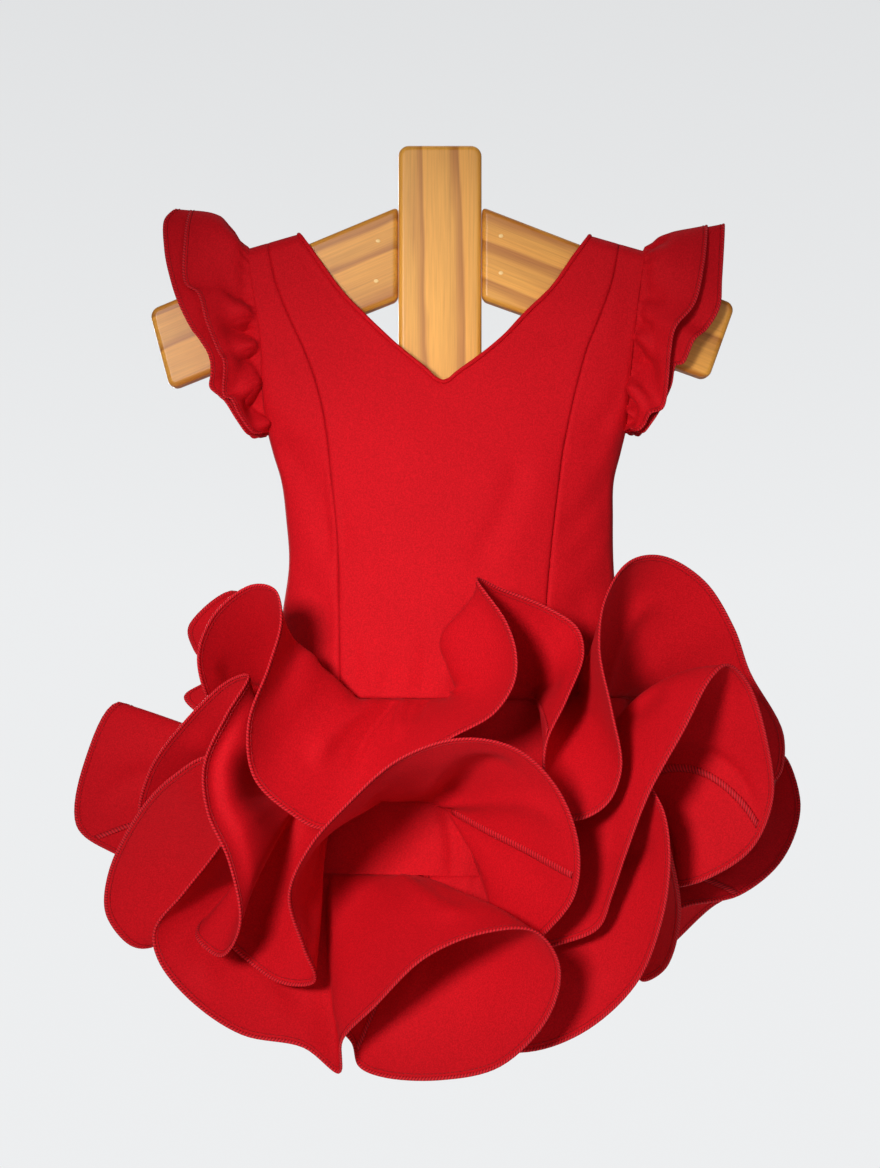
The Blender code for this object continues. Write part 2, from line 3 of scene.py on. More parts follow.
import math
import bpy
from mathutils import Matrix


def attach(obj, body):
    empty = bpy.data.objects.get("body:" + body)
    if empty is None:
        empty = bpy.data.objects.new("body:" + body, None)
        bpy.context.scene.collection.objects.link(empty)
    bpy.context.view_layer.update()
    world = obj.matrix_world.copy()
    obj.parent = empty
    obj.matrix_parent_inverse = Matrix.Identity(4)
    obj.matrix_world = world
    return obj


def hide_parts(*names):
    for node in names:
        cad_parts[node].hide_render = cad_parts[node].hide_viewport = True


bl_info = {
    "name": "Flamenco Dress on a Hanger",
    "version": (1, 0, 0),
    "blender": (4, 5, 0),
    "location": "View3D > Sidebar > Dress",
    "description": "Builds the cloth, trims and hanger of a child's flamenco dress",
    "category": "Object",
}

from collections import namedtuple

import bmesh
import bpy
import numpy as np
from bpy.props import FloatProperty, FloatVectorProperty, IntProperty, PointerProperty
from mathutils import Vector

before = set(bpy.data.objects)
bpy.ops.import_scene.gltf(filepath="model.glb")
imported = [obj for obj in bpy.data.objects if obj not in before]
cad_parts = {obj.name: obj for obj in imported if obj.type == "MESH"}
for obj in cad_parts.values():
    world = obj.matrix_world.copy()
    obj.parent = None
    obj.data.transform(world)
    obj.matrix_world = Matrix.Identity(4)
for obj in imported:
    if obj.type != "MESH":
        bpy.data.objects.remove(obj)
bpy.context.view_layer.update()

MM = 0.001

# The dress's own sizes, in millimetres.
SEAM_Y = -10.0
ROLL = 10.0
CENTRE_BACK = 4.0
HIP_Z = -395.0
SKIRT_FOOT = -540.0
SKIRT_MIDDLE = 6.0
SKIRT_GAP = 0.9
FLOUNCE_GAP = 1.8
HEM_SOFTNESS = 0.5
BOARD = 20.0
POST_HALF_WIDTH = 31.3
POST_TOP = 19.0
POST_FOOT = -250.0
ARMHOLE_FOOT = -197.0
ROOT_IN = 1.6
UNDER_LAYER = 1.9
UPPER_LAYER = 0.9

# How deep the grooves along the seams and beside the neck binding are, and how wide, in mm.
SEAM_DEPTH, SEAM_WIDTH = 1.0, 3.0
NECK_DEPTH, NECK_WIDTH = 0.8, 1.6
# Distance from the sloping neckline, as a share of the height below it.
NECK_SLOPE = 0.7

# The tables of soft folds give depths that are drawn this much deeper.
CREASE_DEPTH = 1.4
TUCK_DEPTH = 1.7
GATHER_DEPTH = 2.9

# Hem stitches stand this far from the edge and this far off the cloth's middle, in mm.
FLOUNCE_STITCHES = (4.4, 0.62)
RUFFLE_STITCHES = (3.2, 0.5)

# Serging in section: across its seam and up from the cloth, in mm, and how far off the
# cloth's middle it lies.
SERGING = ((-2.6, 0.0), (-1.6, 0.7), (0, 0.9), (1.6, 0.7), (2.6, 0.0))
SERGING_LIFT = 0.75
SERGING_WALL = 0.0005
RUFFLE_WALL = 0.0007
RUFFLE_EDGE = (0.0022, 0.0015)

# Steps of the cloth's grids.
FRONT_ROWS = 110
BACK_ROWS = 100
NECK_STEPS = 40
BINDING_STEPS = 70
SKIRT_COLUMNS, SKIRT_ROWS = 121, 31
FLOUNCE_ROWS = 28
RUFFLE_COLUMNS, RUFFLE_ROWS = 240, 20

ARM_RIGHT = {
    "inner top": (31.6, -27.0),
    "inner foot": (31.6, -97.0),
    "outer foot": (202.0, -157.7),
    "outer top": (222.5, -100.6),
}
ARM_LEFT = {
    "inner top": (-31.6, -27.0),
    "inner foot": (-31.6, -97.0),
    "outer foot": (-203.0, -165.0),
    "outer top": (-219.0, -105.0),
}

# Filled nail holes in the arms, across and up, and their radius.
FILLED_HOLES = ((45.8, -49.4), (45.8, -77.2), (-46.6, -53.2), (-48.0, -83.3))
FILLER = 1.5

# Bodice from the hip seam up: the side edges and princess seams across, half the depth at
# the middle, and the share of that depth that the side or armhole edge keeps.
Section = namedtuple("Section", "z left princess_left princess_right right depth edge")
BODICE = (
    Section(-395, -128.0, -73.0, 78.0, 140.0, 55.0, 0.00),
    Section(-364, -123.3, -74.0, 78.3, 136.6, 53.0, 0.00),
    Section(-330, -118.0, -74.7, 78.5, 132.9, 50.0, 0.00),
    Section(-295, -113.5, -75.3, 81.4, 130.2, 46.3, 0.00),
    Section(-262, -115.6, -77.5, 85.1, 129.7, 42.7, 0.00),
    Section(-232, -119.5, -80.9, 89.0, 130.5, 39.2, 0.00),
    Section(-210, -126.0, -83.0, 91.9, 135.8, 37.0, 0.00),
    Section(-195, -129.3, -84.7, 94.9, 138.8, 35.3, 0.20),
    Section(-180, -131.2, -87.4, 98.0, 139.8, 32.5, 0.42),
    Section(-160, -133.0, -92.6, 102.9, 141.2, 29.5, 0.55),
    Section(-135, -133.7, -102.0, 110.0, 143.5, 25.2, 0.65),
    Section(-110, -136.7, -113.7, 120.0, 146.5, 21.0, 0.75),
    Section(-84, -141.0, -123.8, 129.3, 150.0, 15.8, 0.85),
    Section(-56, -144.3, -130.0, 135.0, 154.6, 12.0, 1.00),
)

# Shoulder line, across and up, from the left armhole to the right one.
SHOULDER = ((-146.0, -58.6), (-106.0, -47.0), (112.0, -48.0), (156.0, -60.6))

# Middle of the neck binding, across and up, shoulder to shoulder.
FRONT_NECK = (
    (-106.5, -47.5), (-101.5, -54.0), (-87.5, -74.0), (-71.5, -95.0), (-54.0, -113.0),
    (-30.0, -135.5), (-10.0, -152.0), (-2.5, -158.8), (3.0, -160.5), (7.0, -158.8),
    (11.5, -155.0), (28.5, -142.5), (46.5, -127.5), (65.0, -108.0), (84.0, -89.0),
    (101.0, -65.0), (113.0, -48.5),
)
BACK_NECK = (
    (-106.5, -47.5), (-97.0, -63.0), (-80.0, -91.0), (-59.0, -118.0), (-33.0, -145.0),
    (-7.0, -165.5), (4.0, -170.0), (14.0, -165.5), (39.0, -146.0), (65.0, -119.0),
    (86.0, -91.0), (104.0, -62.0), (113.0, -48.5),
)

# Skirt under the flounces, from the hip seam down: half width and half depth.
SKIRT = ((-395, 134.0, 55.0), (-470, 138.0, 57.0), (-524, 141.0, 59.0), (-540, 142.0, 60.0))

# Hems of the flounces, fold by fold. Each row is one place on the hem: the angle round the
# hip where its cloth is sewn (0 in front, growing to the right), where the hem hangs, and
# how far the cloth between bellies up.
TOP_SEAM = -395.0
TOP_FOLDS = {
    "left petal, foot": (
        (-34, -130, -148, -446, 5), (-28, -108, -146, -469, 5), (-20, -80, -140, -483, 5)),
    "valley": (
        (-14, -48, -128, -456, 5), (-8, -14, -140, -432, 5), (-3, 10, -152, -417, 5)),
    "middle petal, left side": (
        (0, 37, -160, -401, 5), (3, 51, -160, -380, 5), (5, 53, -156, -360, 5),
        (7, 46, -148, -337, 5)),
    "middle petal, tip": (
        (9, 26, -128, -307, 5), (12, 43, -112, -314, 5), (16, 76, -104, -327, 5),
        (20, 98, -108, -342, 5)),
    "middle petal, right side": (
        (23, 102, -118, -361, 5), (26, 89, -132, -393, 5), (29, 74, -142, -425, 5),
        (32, 75, -148, -455, 5)),
    "valley before the right petal": (
        (35, 92, -152, -475, 5), (38, 115, -155, -465, 5), (41, 126, -154, -440, 5)),
    "right petal, rise": (
        (44, 120, -148, -400, 5), (47, 112, -138, -357, 5), (50, 117, -126, -321, 5)),
    "right petal, top": (
        (54, 135, -112, -295, 5), (59, 160, -98, -291, 5), (64, 192, -82, -309, 5),
        (69, 215, -68, -343, 5)),
    "right petal, fall": (
        (75, 229, -50, -376, 5), (81, 257, -28, -424, 5), (87, 255, -10, -458, 5)),
    "right side": (
        (95, 237, 8, -457, 0), (104, 240, 45, -445, 0), (113, 230, 80, -390, 0),
        (120, 208, 98, -440, 0)),
    "first back flute": (
        (127, 175, 99, -493, 0), (135, 163, 132, -435, 0), (144, 133, 160, -355, 0),
        (153, 90, 159, -430, 0)),
    "second back flute": (
        (162, 49, 140, -493, 0), (171, 8, 165, -435, 0), (180, -38, 172, -357, 0),
        (189, -72, 152, -430, 0)),
    "third back flute": (
        (198, -96, 120, -491, 0), (208, -146, 116, -425, 0), (218, -163, 92, -317, 5),
        (227, -198, 72, -343, 5)),
    "left side": (
        (236, -192, 50, -363, 5), (241, -176, 32, -382, 3), (246, -196, 15, -397, 2),
        (251, -180, -4, -412, 5), (258, -167, -28, -420, 5), (266, -160, -58, -411, 5)),
    "left petal, rise": (
        (276, -170, -82, -392, 5), (283, -175, -90, -362, 5), (289, -162, -100, -332, 5)),
    "left petal, top": (
        (295, -135, -112, -312, 5), (301, -117, -124, -315, 5), (307, -112, -134, -336, 5)),
    "left petal, right edge": (
        (313, -120, -142, -368, 5), (320, -134, -150, -409, 5)),
}

MIDDLE_SEAM = -470.0
MIDDLE_FOLDS = {
    "great arch, left side": (
        (-39, -88, -140, -590, 0), (-37, -95, -156, -564, 0), (-34, -104, -174, -525, 0),
        (-30, -89, -188, -490, -5)),
    "great arch, lip": (
        (-25, -65, -196, -462, -8), (-19, -28, -203, -429, -10), (-13, 13, -206, -415, -10),
        (-9, 51, -200, -422, -5)),
    "great arch, right side": (
        (-7, 80, -190, -450, 0), (-5, 95, -178, -490, 0), (-4, 93, -165, -526, 0),
        (-3, 76, -150, -552, 0)),
    "great arch, turn": (
        (-2, 60, -134, -567, 0), (0, 44, -115, -571, 0), (4, 57, -102, -576, 0),
        (11, 85, -113, -568, 0)),
    "slope to the right": (
        (19, 112, -128, -554, 5), (27, 121, -138, -529, 10), (33, 130, -148, -499, 15),
        (38, 146, -152, -456, 22)),
    "right petal, tip": (
        (43, 170, -150, -413, 28), (46, 190, -142, -377, 30), (49, 203, -132, -368, 30),
        (52, 220, -118, -383, 30)),
    "right petal, fall": (
        (55, 234, -108, -424, 32), (58, 239, -100, -466, 34), (61, 224, -96, -502, 34),
        (64, 192, -92, -524, 30)),
    "right petal, turn": (
        (68, 172, -76, -531, 22), (73, 186, -54, -520, 15), (80, 217, -28, -506, 12),
        (87, 242, 5, -480, 10)),
    "right side": (
        (94, 236, 45, -463, 8), (102, 243, 42, -477, 5), (110, 240, 66, -520, 5),
        (118, 226, 94, -515, 5)),
    "first back flute": (
        (126, 186, 99, -565, 5), (135, 166, 135, -515, 5), (144, 138, 169, -462, 5),
        (153, 93, 163, -515, 5)),
    "second back flute": (
        (162, 50, 146, -565, 5), (171, 9, 167, -515, 5), (180, -40, 181, -462, 5),
        (189, -74, 157, -515, 5)),
    "third back flute": (
        (198, -99, 125, -565, 5), (207, -147, 122, -520, 5), (216, -190, 108, -485, 5)),
    "left wing": (
        (226, -253, 60, -404, 5), (236, -277, 45, -450, 5), (246, -280, 25, -497, 5),
        (254, -252, 8, -515, 5)),
    "left wing, turn": (
        (260, -219, -12, -521, 5), (265, -205, -30, -507, 5), (271, -223, -42, -486, 5)),
    "left arch": (
        (277, -214, -58, -448, 5), (283, -185, -80, -410, 5), (288, -152, -104, -380, 5)),
    "left petal, fall": (
        (292, -136, -120, -376, 5), (295, -151, -130, -403, 5), (298, -166, -138, -438, 5),
        (301, -163, -145, -470, 5)),
    "left petal, foot": (
        (305, -147, -154, -504, 10), (308.5, -139, -158, -547, 10),
        (309.7, -153, -141, -572, 6), (310.9, -173, -120, -562, 2)),
    "left petal, turn": (
        (312.2, -169, -99, -554, -4), (315, -144, -100, -577, -4), (318.5, -113, -122, -594, 0)),
}

BOTTOM_SEAM = -524.0
BOTTOM_FOLDS = {
    "left fan": (
        (-66, -202, -106, -579, 5), (-62, -178, -118, -606, 5), (-56, -140, -128, -629, 5),
        (-48, -96, -134, -637, 5)),
    "front arch, left side": (
        (-40, -71, -140, -654, 5), (-36, -68, -156, -628, 5), (-31, -45, -170, -602, 5)),
    "front arch, lip": (
        (-24, -10, -184, -566, 5), (-16, 31, -190, -548, 5), (-11, 65, -186, -548, 5)),
    "front arch, right side": (
        (-9, 82, -176, -573, 0), (-8, 75, -164, -610, 0), (-7, 42, -150, -647, 0)),
    "front arch, foot": (
        (-6, 0, -138, -659, 0), (-5, -42, -126, -659, 0), (-4, -58, -118, -653, 0)),
    "front arch, turn": (
        (-3, -63, -108, -639, 0), (-1, -75, -98, -626, 0), (3, -54, -88, -619, 0),
        (9, 0, -92, -636, 0)),
    "slope to the right": (
        (14, 57, -106, -646, 0), (23, 100, -115, -631, 0), (31, 138, -128, -594, 5)),
    "right petal, rise": (
        (38, 155, -138, -550, 8), (43, 161, -142, -506, 12), (47, 157, -142, -471, 12)),
    "right petal, top": (
        (51, 146, -132, -450, 10), (55, 154, -115, -468, 5), (59, 167, -100, -509, 2)),
    "right valley": (
        (64, 174, -85, -551, 0), (70, 165, -68, -592, 0), (76, 148, -48, -604, 0),
        (81, 152, -40, -572, 0)),
    "right wing": (
        (85, 180, -34, -553, 0), (90, 225, -20, -545, 3), (95, 260, -5, -519, 5),
        (100, 276, 14, -480, -8)),
    "right side": (
        (105, 266, 36, -444, -30), (110, 249, 72, -543, -2), (116, 215, 85, -569, 5),
        (122, 178, 88, -604, 0)),
    "first back flute": (
        (128, 154, 90, -619, 0), (136, 160, 125, -614, 0), (145, 134, 162, -559, 5),
        (154, 89, 151, -614, 5)),
    "second back flute": (
        (163, 49, 128, -649, 0), (172, 9, 155, -614, 0), (181, -39, 174, -559, 5),
        (190, -70, 145, -614, 5)),
    "third back flute": (
        (199, -90, 110, -649, 0), (208, -138, 112, -619, 0), (217, -175, 95, -599, 5)),
    "left side": (
        (228, -191, 63, -619, 0), (238, -184, 36, -619, 0), (246, -204, 25, -574, 0),
        (253, -220, 0, -587, 0)),
    "left wing": (
        (259, -234, -10, -584, 0), (264, -251, -18, -560, 3), (268, -248, -30, -528, 5)),
    "left arch": (
        (272, -222, -58, -479, 5), (276, -195, -78, -451, 5), (280, -167, -82, -436, 5),
        (284, -147, -82, -456, 5)),
    "left petal, fall": (
        (287, -147, -92, -478, 5), (289, -159, -106, -500, 5), (291, -184, -108, -532, 5),
        (292.5, -205, -105, -559, 5)),
}

# Front halves of the sleeve ruffles' hems, from the underarm up to the shoulder: share of
# the way round the armhole, then where the hem is. The back halves mirror them.
SLEEVES = {
    "sleeve_upper_right": (
        (0.000, 142, -31, -194), (0.040, 147, -38, -197), (0.080, 152, -42, -193),
        (0.120, 156, -47, -185), (0.165, 166, -44, -180), (0.215, 169, -50, -158),
        (0.265, 171, -45, -140), (0.315, 174, -51, -122), (0.370, 189, -44, -103),
        (0.430, 197, -34, -73), (0.500, 202, -10, -40)),
    "sleeve_under_right": (
        (0.000, 147, -24, -196), (0.050, 152, -31, -198), (0.100, 157, -37, -192),
        (0.150, 164, -39, -181), (0.200, 172, -43, -163), (0.240, 175, -39, -149),
        (0.280, 182, -38, -146), (0.320, 189, -43, -130), (0.360, 199, -37, -121),
        (0.400, 208, -36, -106), (0.450, 211, -28, -82), (0.500, 215, -10, -39)),
    "sleeve_upper_left": (
        (0.000, -133, -31, -198), (0.040, -140, -38, -198), (0.080, -149, -43, -186),
        (0.120, -155, -47, -174), (0.150, -161, -43, -171), (0.190, -160, -50, -148),
        (0.230, -165, -45, -138), (0.280, -173, -50, -117), (0.330, -180, -44, -95),
        (0.370, -190, -40, -87), (0.430, -191, -30, -50), (0.500, -189, -10, -29)),
    "sleeve_under_left": (
        (0.000, -138, -24, -199), (0.050, -144, -32, -199), (0.100, -152, -38, -188),
        (0.150, -162, -38, -173), (0.180, -171, -41, -165), (0.210, -170, -43, -154),
        (0.245, -172, -39, -141), (0.280, -179, -38, -129), (0.310, -185, -41, -121),
        (0.345, -194, -42, -103), (0.385, -201, -36, -83), (0.430, -206, -30, -60),
        (0.470, -207, -20, -37), (0.500, -200, -10, -28)),
}

# Soft folds of the bodice: from one point (across, up) to another, their width and depth in
# mm (below zero is a trough, above it a ridge).
Crease = namedtuple("Crease", "x0 z0 x1 z1 width depth")
FRONT_CREASES = (
    Crease(59, -221, 25, -296, 10, -1.7),
    Crease(78, -214, 44, -300, 14, 0.8),
    Crease(126, -232, 92, -274, 9, -1.8),
    Crease(129, -252, 96, -300, 8, -1.1),
    Crease(128, -296, 88, -336, 12, -1.6),
    Crease(138, -156, 112, -200, 8, -1.1),
    Crease(109, -116, 70, -128, 7, -0.9),
    Crease(134, -186, 118, -224, 6, 0.9),
    Crease(-116, -206, -78, -292, 14, -2.8),
    Crease(-104, -262, -74, -330, 9, 0.8),
    Crease(-115, -290, -82, -352, 10, -1.4),
    Crease(-128, -186, -104, -232, 7, -0.9),
    Crease(-88, -318, -84, -372, 8, -1.2),
    Crease(-64, -352, -66, -393, 5, -1.1),
    Crease(-52, -366, -50, -394, 4, 0.9),
    Crease(-38, -360, -40, -394, 5, -1.0),
    Crease(-26, -366, -26, -394, 4, 0.8),
    Crease(-12, -352, -14, -394, 6, -1.2),
    Crease(4, -340, 2, -393, 9, 1.0),
    Crease(22, -322, 14, -392, 8, -1.3),
    Crease(70, -330, 78, -392, 9, -1.2),
    Crease(104, -318, 106, -390, 10, -1.4),
    Crease(-30, -190, -44, -300, 30, 1.1),
    Crease(-102, -70, -116, -112, 7, 0.6),
    Crease(128, -78, 124, -132, 8, 0.7),
)
BACK_CREASES = (
    Crease(-110, -258, -40, -290, 11, -1.8),
    Crease(-116, -220, -50, -236, 9, -1.3),
    Crease(128, -220, 60, -240, 10, -1.5),
    Crease(124, -268, 40, -300, 12, -1.7),
    Crease(-60, -310, -50, -392, 14, -1.6),
    Crease(-92, -330, -86, -392, 9, 1.1),
    Crease(-24, -352, -22, -393, 6, -1.0),
    Crease(30, -350, 28, -393, 6, -1.0),
    Crease(70, -320, 60, -392, 14, -1.5),
    Crease(98, -336, 100, -392, 8, 1.1),
    Crease(-96, -150, -70, -210, 12, 1.2),
    Crease(104, -150, 76, -215, 12, 1.1),
    Crease(-118, -176, -90, -220, 7, -1.1),
    Crease(124, -180, 96, -226, 7, -1.1),
)

# Soft folds of the skirt, the same in front and behind.
SKIRT_CREASES = (
    Crease(2, -472, 9, -526, 5, -3.2),
    Crease(-38, -470, -30, -528, 8, -1.6),
    Crease(48, -474, 40, -530, 9, -1.4),
    Crease(-74, -430, -66, -520, 12, -1.5),
    Crease(88, -440, 80, -530, 12, -1.5),
)

# Folds that the gathering makes in both ruffles of a sleeve: where each starts along the
# armhole (0 at its foot in front, 0.5 on the shoulder), its width as a share of the armhole,
# its depth in mm (below zero is a hollow) and how far it runs towards the hem.
Gather = namedtuple("Gather", "share width depth reach")
GATHERS = {
    "left": (
        Gather(0.035, 0.016, 2.2, 0.8), Gather(0.087, 0.022, -3.8, 0.9),
        Gather(0.140, 0.018, 2.4, 0.8), Gather(0.198, 0.018, -2.8, 0.8),
        Gather(0.230, 0.014, 2.0, 0.7), Gather(0.265, 0.017, -3.6, 0.9),
        Gather(0.305, 0.016, 1.6, 0.6), Gather(0.345, 0.020, -1.7, 0.6),
        Gather(0.440, 0.030, 1.5, 0.8), Gather(0.480, 0.016, -1.6, 0.5),
    ),
    "right": (
        Gather(0.043, 0.018, -2.6, 0.8), Gather(0.070, 0.012, 1.6, 0.6),
        Gather(0.096, 0.014, -2.8, 0.7), Gather(0.135, 0.022, 2.6, 0.9),
        Gather(0.212, 0.026, -4.0, 0.9), Gather(0.258, 0.016, 1.6, 0.6),
        Gather(0.293, 0.012, -1.4, 0.6), Gather(0.363, 0.014, -1.5, 0.6),
        Gather(0.425, 0.030, 1.4, 0.8), Gather(0.470, 0.014, -1.5, 0.5),
    ),
}

# How far the ruffles stand up over the shoulder in mm, over what share of the armhole, and
# how near the armhole they are highest (under 1) or the hem (over 1).
Crown = namedtuple("Crown", "rise width lean")
CROWN = {"left": Crown(10.0, 0.12, 0.9), "right": Crown(7.0, 0.12, 0.5)}

# Soft folds of the flounces, from one place (fold, row, share of the drop) to another row
# of that fold, with their width and depth in mm.
Tuck = namedtuple("Tuck", "fold row drop to_row to_drop width depth")
TUCKS = {
    "flounce_top": (
        Tuck("valley", 0.2, 0.02, 0.4, 0.55, 5, -1.8),
        Tuck("valley", 1.2, 0.02, 0.9, 0.40, 4, 1.2),
        Tuck("middle petal, left side", 0.4, 0.02, 0.8, 0.35, 4, -1.3),
        Tuck("left petal, foot", 1.9, 0.02, 0.9, 0.62, 8, -2.4),
        Tuck("left petal, foot", 2.6, 0.02, 2.0, 0.55, 5, 1.2),
        Tuck("middle petal, right side", 1.0, 0.02, 0.6, 0.7, 8, -1.6),
        Tuck("right petal, rise", 1.0, 0.02, 1.2, 0.6, 8, -1.5),
        Tuck("right petal, top", 1.0, 0.02, 1.2, 0.7, 9, 1.5),
        Tuck("right petal, fall", 1.2, 0.05, 1.6, 0.8, 8, -1.4),
        Tuck("second back flute", 1.0, 0.02, 1.2, 0.7, 9, -1.6),
        Tuck("third back flute", 1.0, 0.02, 1.2, 0.6, 8, 1.5),
        Tuck("left side", 1.0, 0.02, 1.5, 0.8, 9, -1.7),
        Tuck("left petal, rise", 0.5, 0.02, 0.8, 0.7, 7, -1.4),
    ),
    "flounce_middle": (
        Tuck("great arch, left side", 1.5, 0.05, 1.2, 0.85, 9, -1.5),
        Tuck("great arch, lip", 1.0, 0.05, 0.6, 0.7, 8, -1.5),
        Tuck("great arch, lip", 3.4, 0.20, 2.8, 0.85, 11, -3.2),
        Tuck("great arch, right side", 0.6, 0.05, 0.4, 0.9, 8, 1.3),
        Tuck("great arch, turn", 1.0, 0.05, 1.3, 0.8, 7, -1.4),
        Tuck("slope to the right", 1.0, 0.05, 1.6, 0.8, 10, -1.6),
        Tuck("right petal, tip", 0.5, 0.05, 0.8, 0.75, 8, 1.3),
        Tuck("right petal, fall", 1.0, 0.30, 1.4, 0.9, 6, -1.6),
        Tuck("right side", 1.0, 0.05, 1.4, 0.8, 9, -1.6),
        Tuck("second back flute", 1.2, 0.02, 1.2, 0.7, 9, -1.5),
        Tuck("left wing", 1.0, 0.05, 1.5, 0.85, 9, -1.6),
        Tuck("left arch", 1.0, 0.05, 0.8, 0.85, 8, 1.4),
        Tuck("left petal, fall", 1.0, 0.05, 1.2, 0.85, 9, -1.5),
    ),
    "flounce_bottom": (
        Tuck("left fan", 1.2, 0.05, 1.0, 0.9, 10, -1.8),
        Tuck("left fan", 2.6, 0.05, 2.8, 0.8, 8, 1.5),
        Tuck("front arch, left side", 0.8, 0.05, 0.6, 0.85, 8, -1.5),
        Tuck("front arch, lip", 1.0, 0.05, 0.8, 0.8, 9, -1.5),
        Tuck("front arch, foot", 1.0, 0.05, 1.2, 0.8, 8, 1.4),
        Tuck("slope to the right", 1.0, 0.05, 1.5, 0.85, 10, -1.6),
        Tuck("right petal, rise", 1.0, 0.05, 1.2, 0.8, 8, 1.4),
        Tuck("right wing", 1.0, 0.05, 1.3, 0.85, 9, -1.5),
        Tuck("second back flute", 1.0, 0.02, 1.2, 0.8, 9, -1.5),
        Tuck("left side", 1.0, 0.05, 1.2, 0.8, 9, 1.4),
    ),
}

# Where the cloth of a flounce stands away from its plain slope: the place on it (fold, row,
# share of the drop), how many rows and what share of the drop it spreads over, and how far
# it goes across, back and up in mm.
Bulge = namedtuple("Bulge", "fold row drop rows spread x y z")
BULGES = {
    "flounce_top": (
        Bulge("left petal, right edge", 0.6, 0.38, 1.8, 0.24, 12, -3, 20),
        Bulge("left petal, foot", 0.0, 0.20, 1.4, 0.18, 4, 0, 15),
        Bulge("middle petal, tip", -0.2, 0.42, 1.9, 0.30, -24, 4, 3),
        Bulge("middle petal, left side", 1.8, 0.34, 1.5, 0.26, -12, 0, 3),
    ),
    "flounce_middle": (
        Bulge("left petal, fall", 2.2, 0.64, 2.6, 0.24, 2, -20, 4),
    ),
    "flounce_bottom": (),
}

# Serged seams that join the segments of a flounce: which row of its hem each one meets.
SERGED = {
    "flounce_middle": (("great arch, right side", 1.7), ("right petal, fall", 1.7),
                       ("second back flute", 2.0), ("left wing", 2.5)),
    "flounce_bottom": (("front arch, foot", 2.6), ("second back flute", 1.5),
                       ("right wing", 1.0)),
    "flounce_top": (("middle petal, right side", 1.8), ("first back flute", 2.0),
                    ("left side", 1.5)),
}


class DressCloth(bpy.types.PropertyGroup):
    """Sizes and colours of the red crepe"""

    wall: FloatProperty(
        name="Cloth Thickness", description="Thickness of the crepe", default=0.0009,
        min=0.0003, max=0.003, unit="LENGTH")
    # Crepe colour; crepe_finish makes a lighter copy of it for a painted highlight on the
    # pebbles' tops.
    colour: FloatVectorProperty(
        name="Crepe", description="Colour of the crepe where light falls on it",
        default=(0.56, 0.0033, 0.0093), size=3, subtype="COLOR", min=0.0, max=1.0)
    # Painted shade: the darker colour that the crepe takes in the hollows between its pebbles.
    painted_hollow_shade: FloatVectorProperty(
        name="Crepe Hollows", description="Colour between the threads",
        default=(0.49, 0.0024, 0.0072), size=3, subtype="COLOR", min=0.0, max=1.0)
    crepe_grain: FloatProperty(
        name="Crepe Grain", description="Size of the crepe's pebbles", default=0.0011,
        min=0.0002, max=0.01, unit="LENGTH")
    steps: IntProperty(
        name="Fold Steps", description="Steps of cloth between two rows of a hem table",
        default=8, min=2, max=16)


class DressTrim(bpy.types.PropertyGroup):
    """Edges and stitches"""

    edge_width: FloatProperty(
        name="Edge Width", description="Width of the overlocked edge", default=0.0030,
        min=0.001, max=0.006, unit="LENGTH")
    edge_height: FloatProperty(
        name="Edge Thickness", description="Thickness of the overlocked edge", default=0.0020,
        min=0.001, max=0.004, unit="LENGTH")
    stitch_spacing: FloatProperty(
        name="Stitch Spacing", description="From one stitch to the next", default=0.0030,
        min=0.001, max=0.01, unit="LENGTH")
    stitch_length: FloatProperty(
        name="Stitch Length", description="Length of one stitch", default=0.0021,
        min=0.0005, max=0.01, unit="LENGTH")
    thread: FloatProperty(
        name="Thread", description="Radius of the sewing thread", default=0.00034,
        min=0.0001, max=0.001, unit="LENGTH")
    colour: FloatVectorProperty(
        name="Thread Colour", description="Colour of thread and overlocked edges",
        default=(0.60, 0.011, 0.019), size=3, subtype="COLOR", min=0.0, max=1.0)


class HangerWood(bpy.types.PropertyGroup):
    """Colours of the varnished boards"""

    light: FloatVectorProperty(
        name="Light Grain", description="Colour of the pale wood", default=(0.98, 0.455, 0.070),
        size=3, subtype="COLOR", min=0.0, max=1.0)
    dark: FloatVectorProperty(
        name="Dark Grain", description="Colour of the late wood", default=(0.58, 0.205, 0.025),
        size=3, subtype="COLOR", min=0.0, max=1.0)
    rounding: FloatProperty(
        name="Rounding", description="Radius of the boards' edges", default=0.0042,
        min=0.001, max=0.009, unit="LENGTH")


class DressStage(bpy.types.PropertyGroup):
    """Camera, light and floor"""

    distance: FloatProperty(
        name="Camera Distance", description="From the camera to the hanger", default=1.8,
        min=0.5, max=10.0, unit="LENGTH")
    height: FloatProperty(
        name="Camera Height", description="Height of the camera", default=-0.311,
        min=-2.0, max=2.0, unit="LENGTH")
    lens: FloatProperty(
        name="Lens", description="Focal length of the camera in mm", default=73.0,
        min=10.0, max=200.0)
    wall_light: FloatProperty(
        name="Wall Light", description="Light that the pale walls give, as a share of their "
        "brightness", default=0.26, min=0.0, max=2.0)
    key_light: FloatProperty(
        name="Lamps", description="Power in watts that each lamp takes a multiple of",
        default=29.0, min=0.0, max=500.0)
    backdrop: FloatVectorProperty(
        name="Backdrop", description="Colour behind the dress", default=(0.80, 0.81, 0.82),
        size=3, subtype="COLOR", min=0.0, max=1.0)


def through(x, xs, ys):
    """Smooth curve through the rows (xs, ys), whose slopes come from the rows beside."""
    xs, ys = np.asarray(xs, float), np.asarray(ys, float)
    slopes = np.gradient(ys, xs)
    k = np.clip(np.searchsorted(xs, x) - 1, 0, len(xs) - 2)
    width = xs[k + 1] - xs[k]
    t = np.clip((x - xs[k]) / width, 0, 1)
    blend = t * t * (3 - 2 * t)
    bend = t * (1 - t) * ((1 - t) * slopes[k] - t * slopes[k + 1])
    return ys[k] * (1 - blend) + ys[k + 1] * blend + width * bend


def section(column, z):
    """A column of the bodice's sections at height z."""
    return through(z, [row.z for row in BODICE], [getattr(row, column) for row in BODICE])


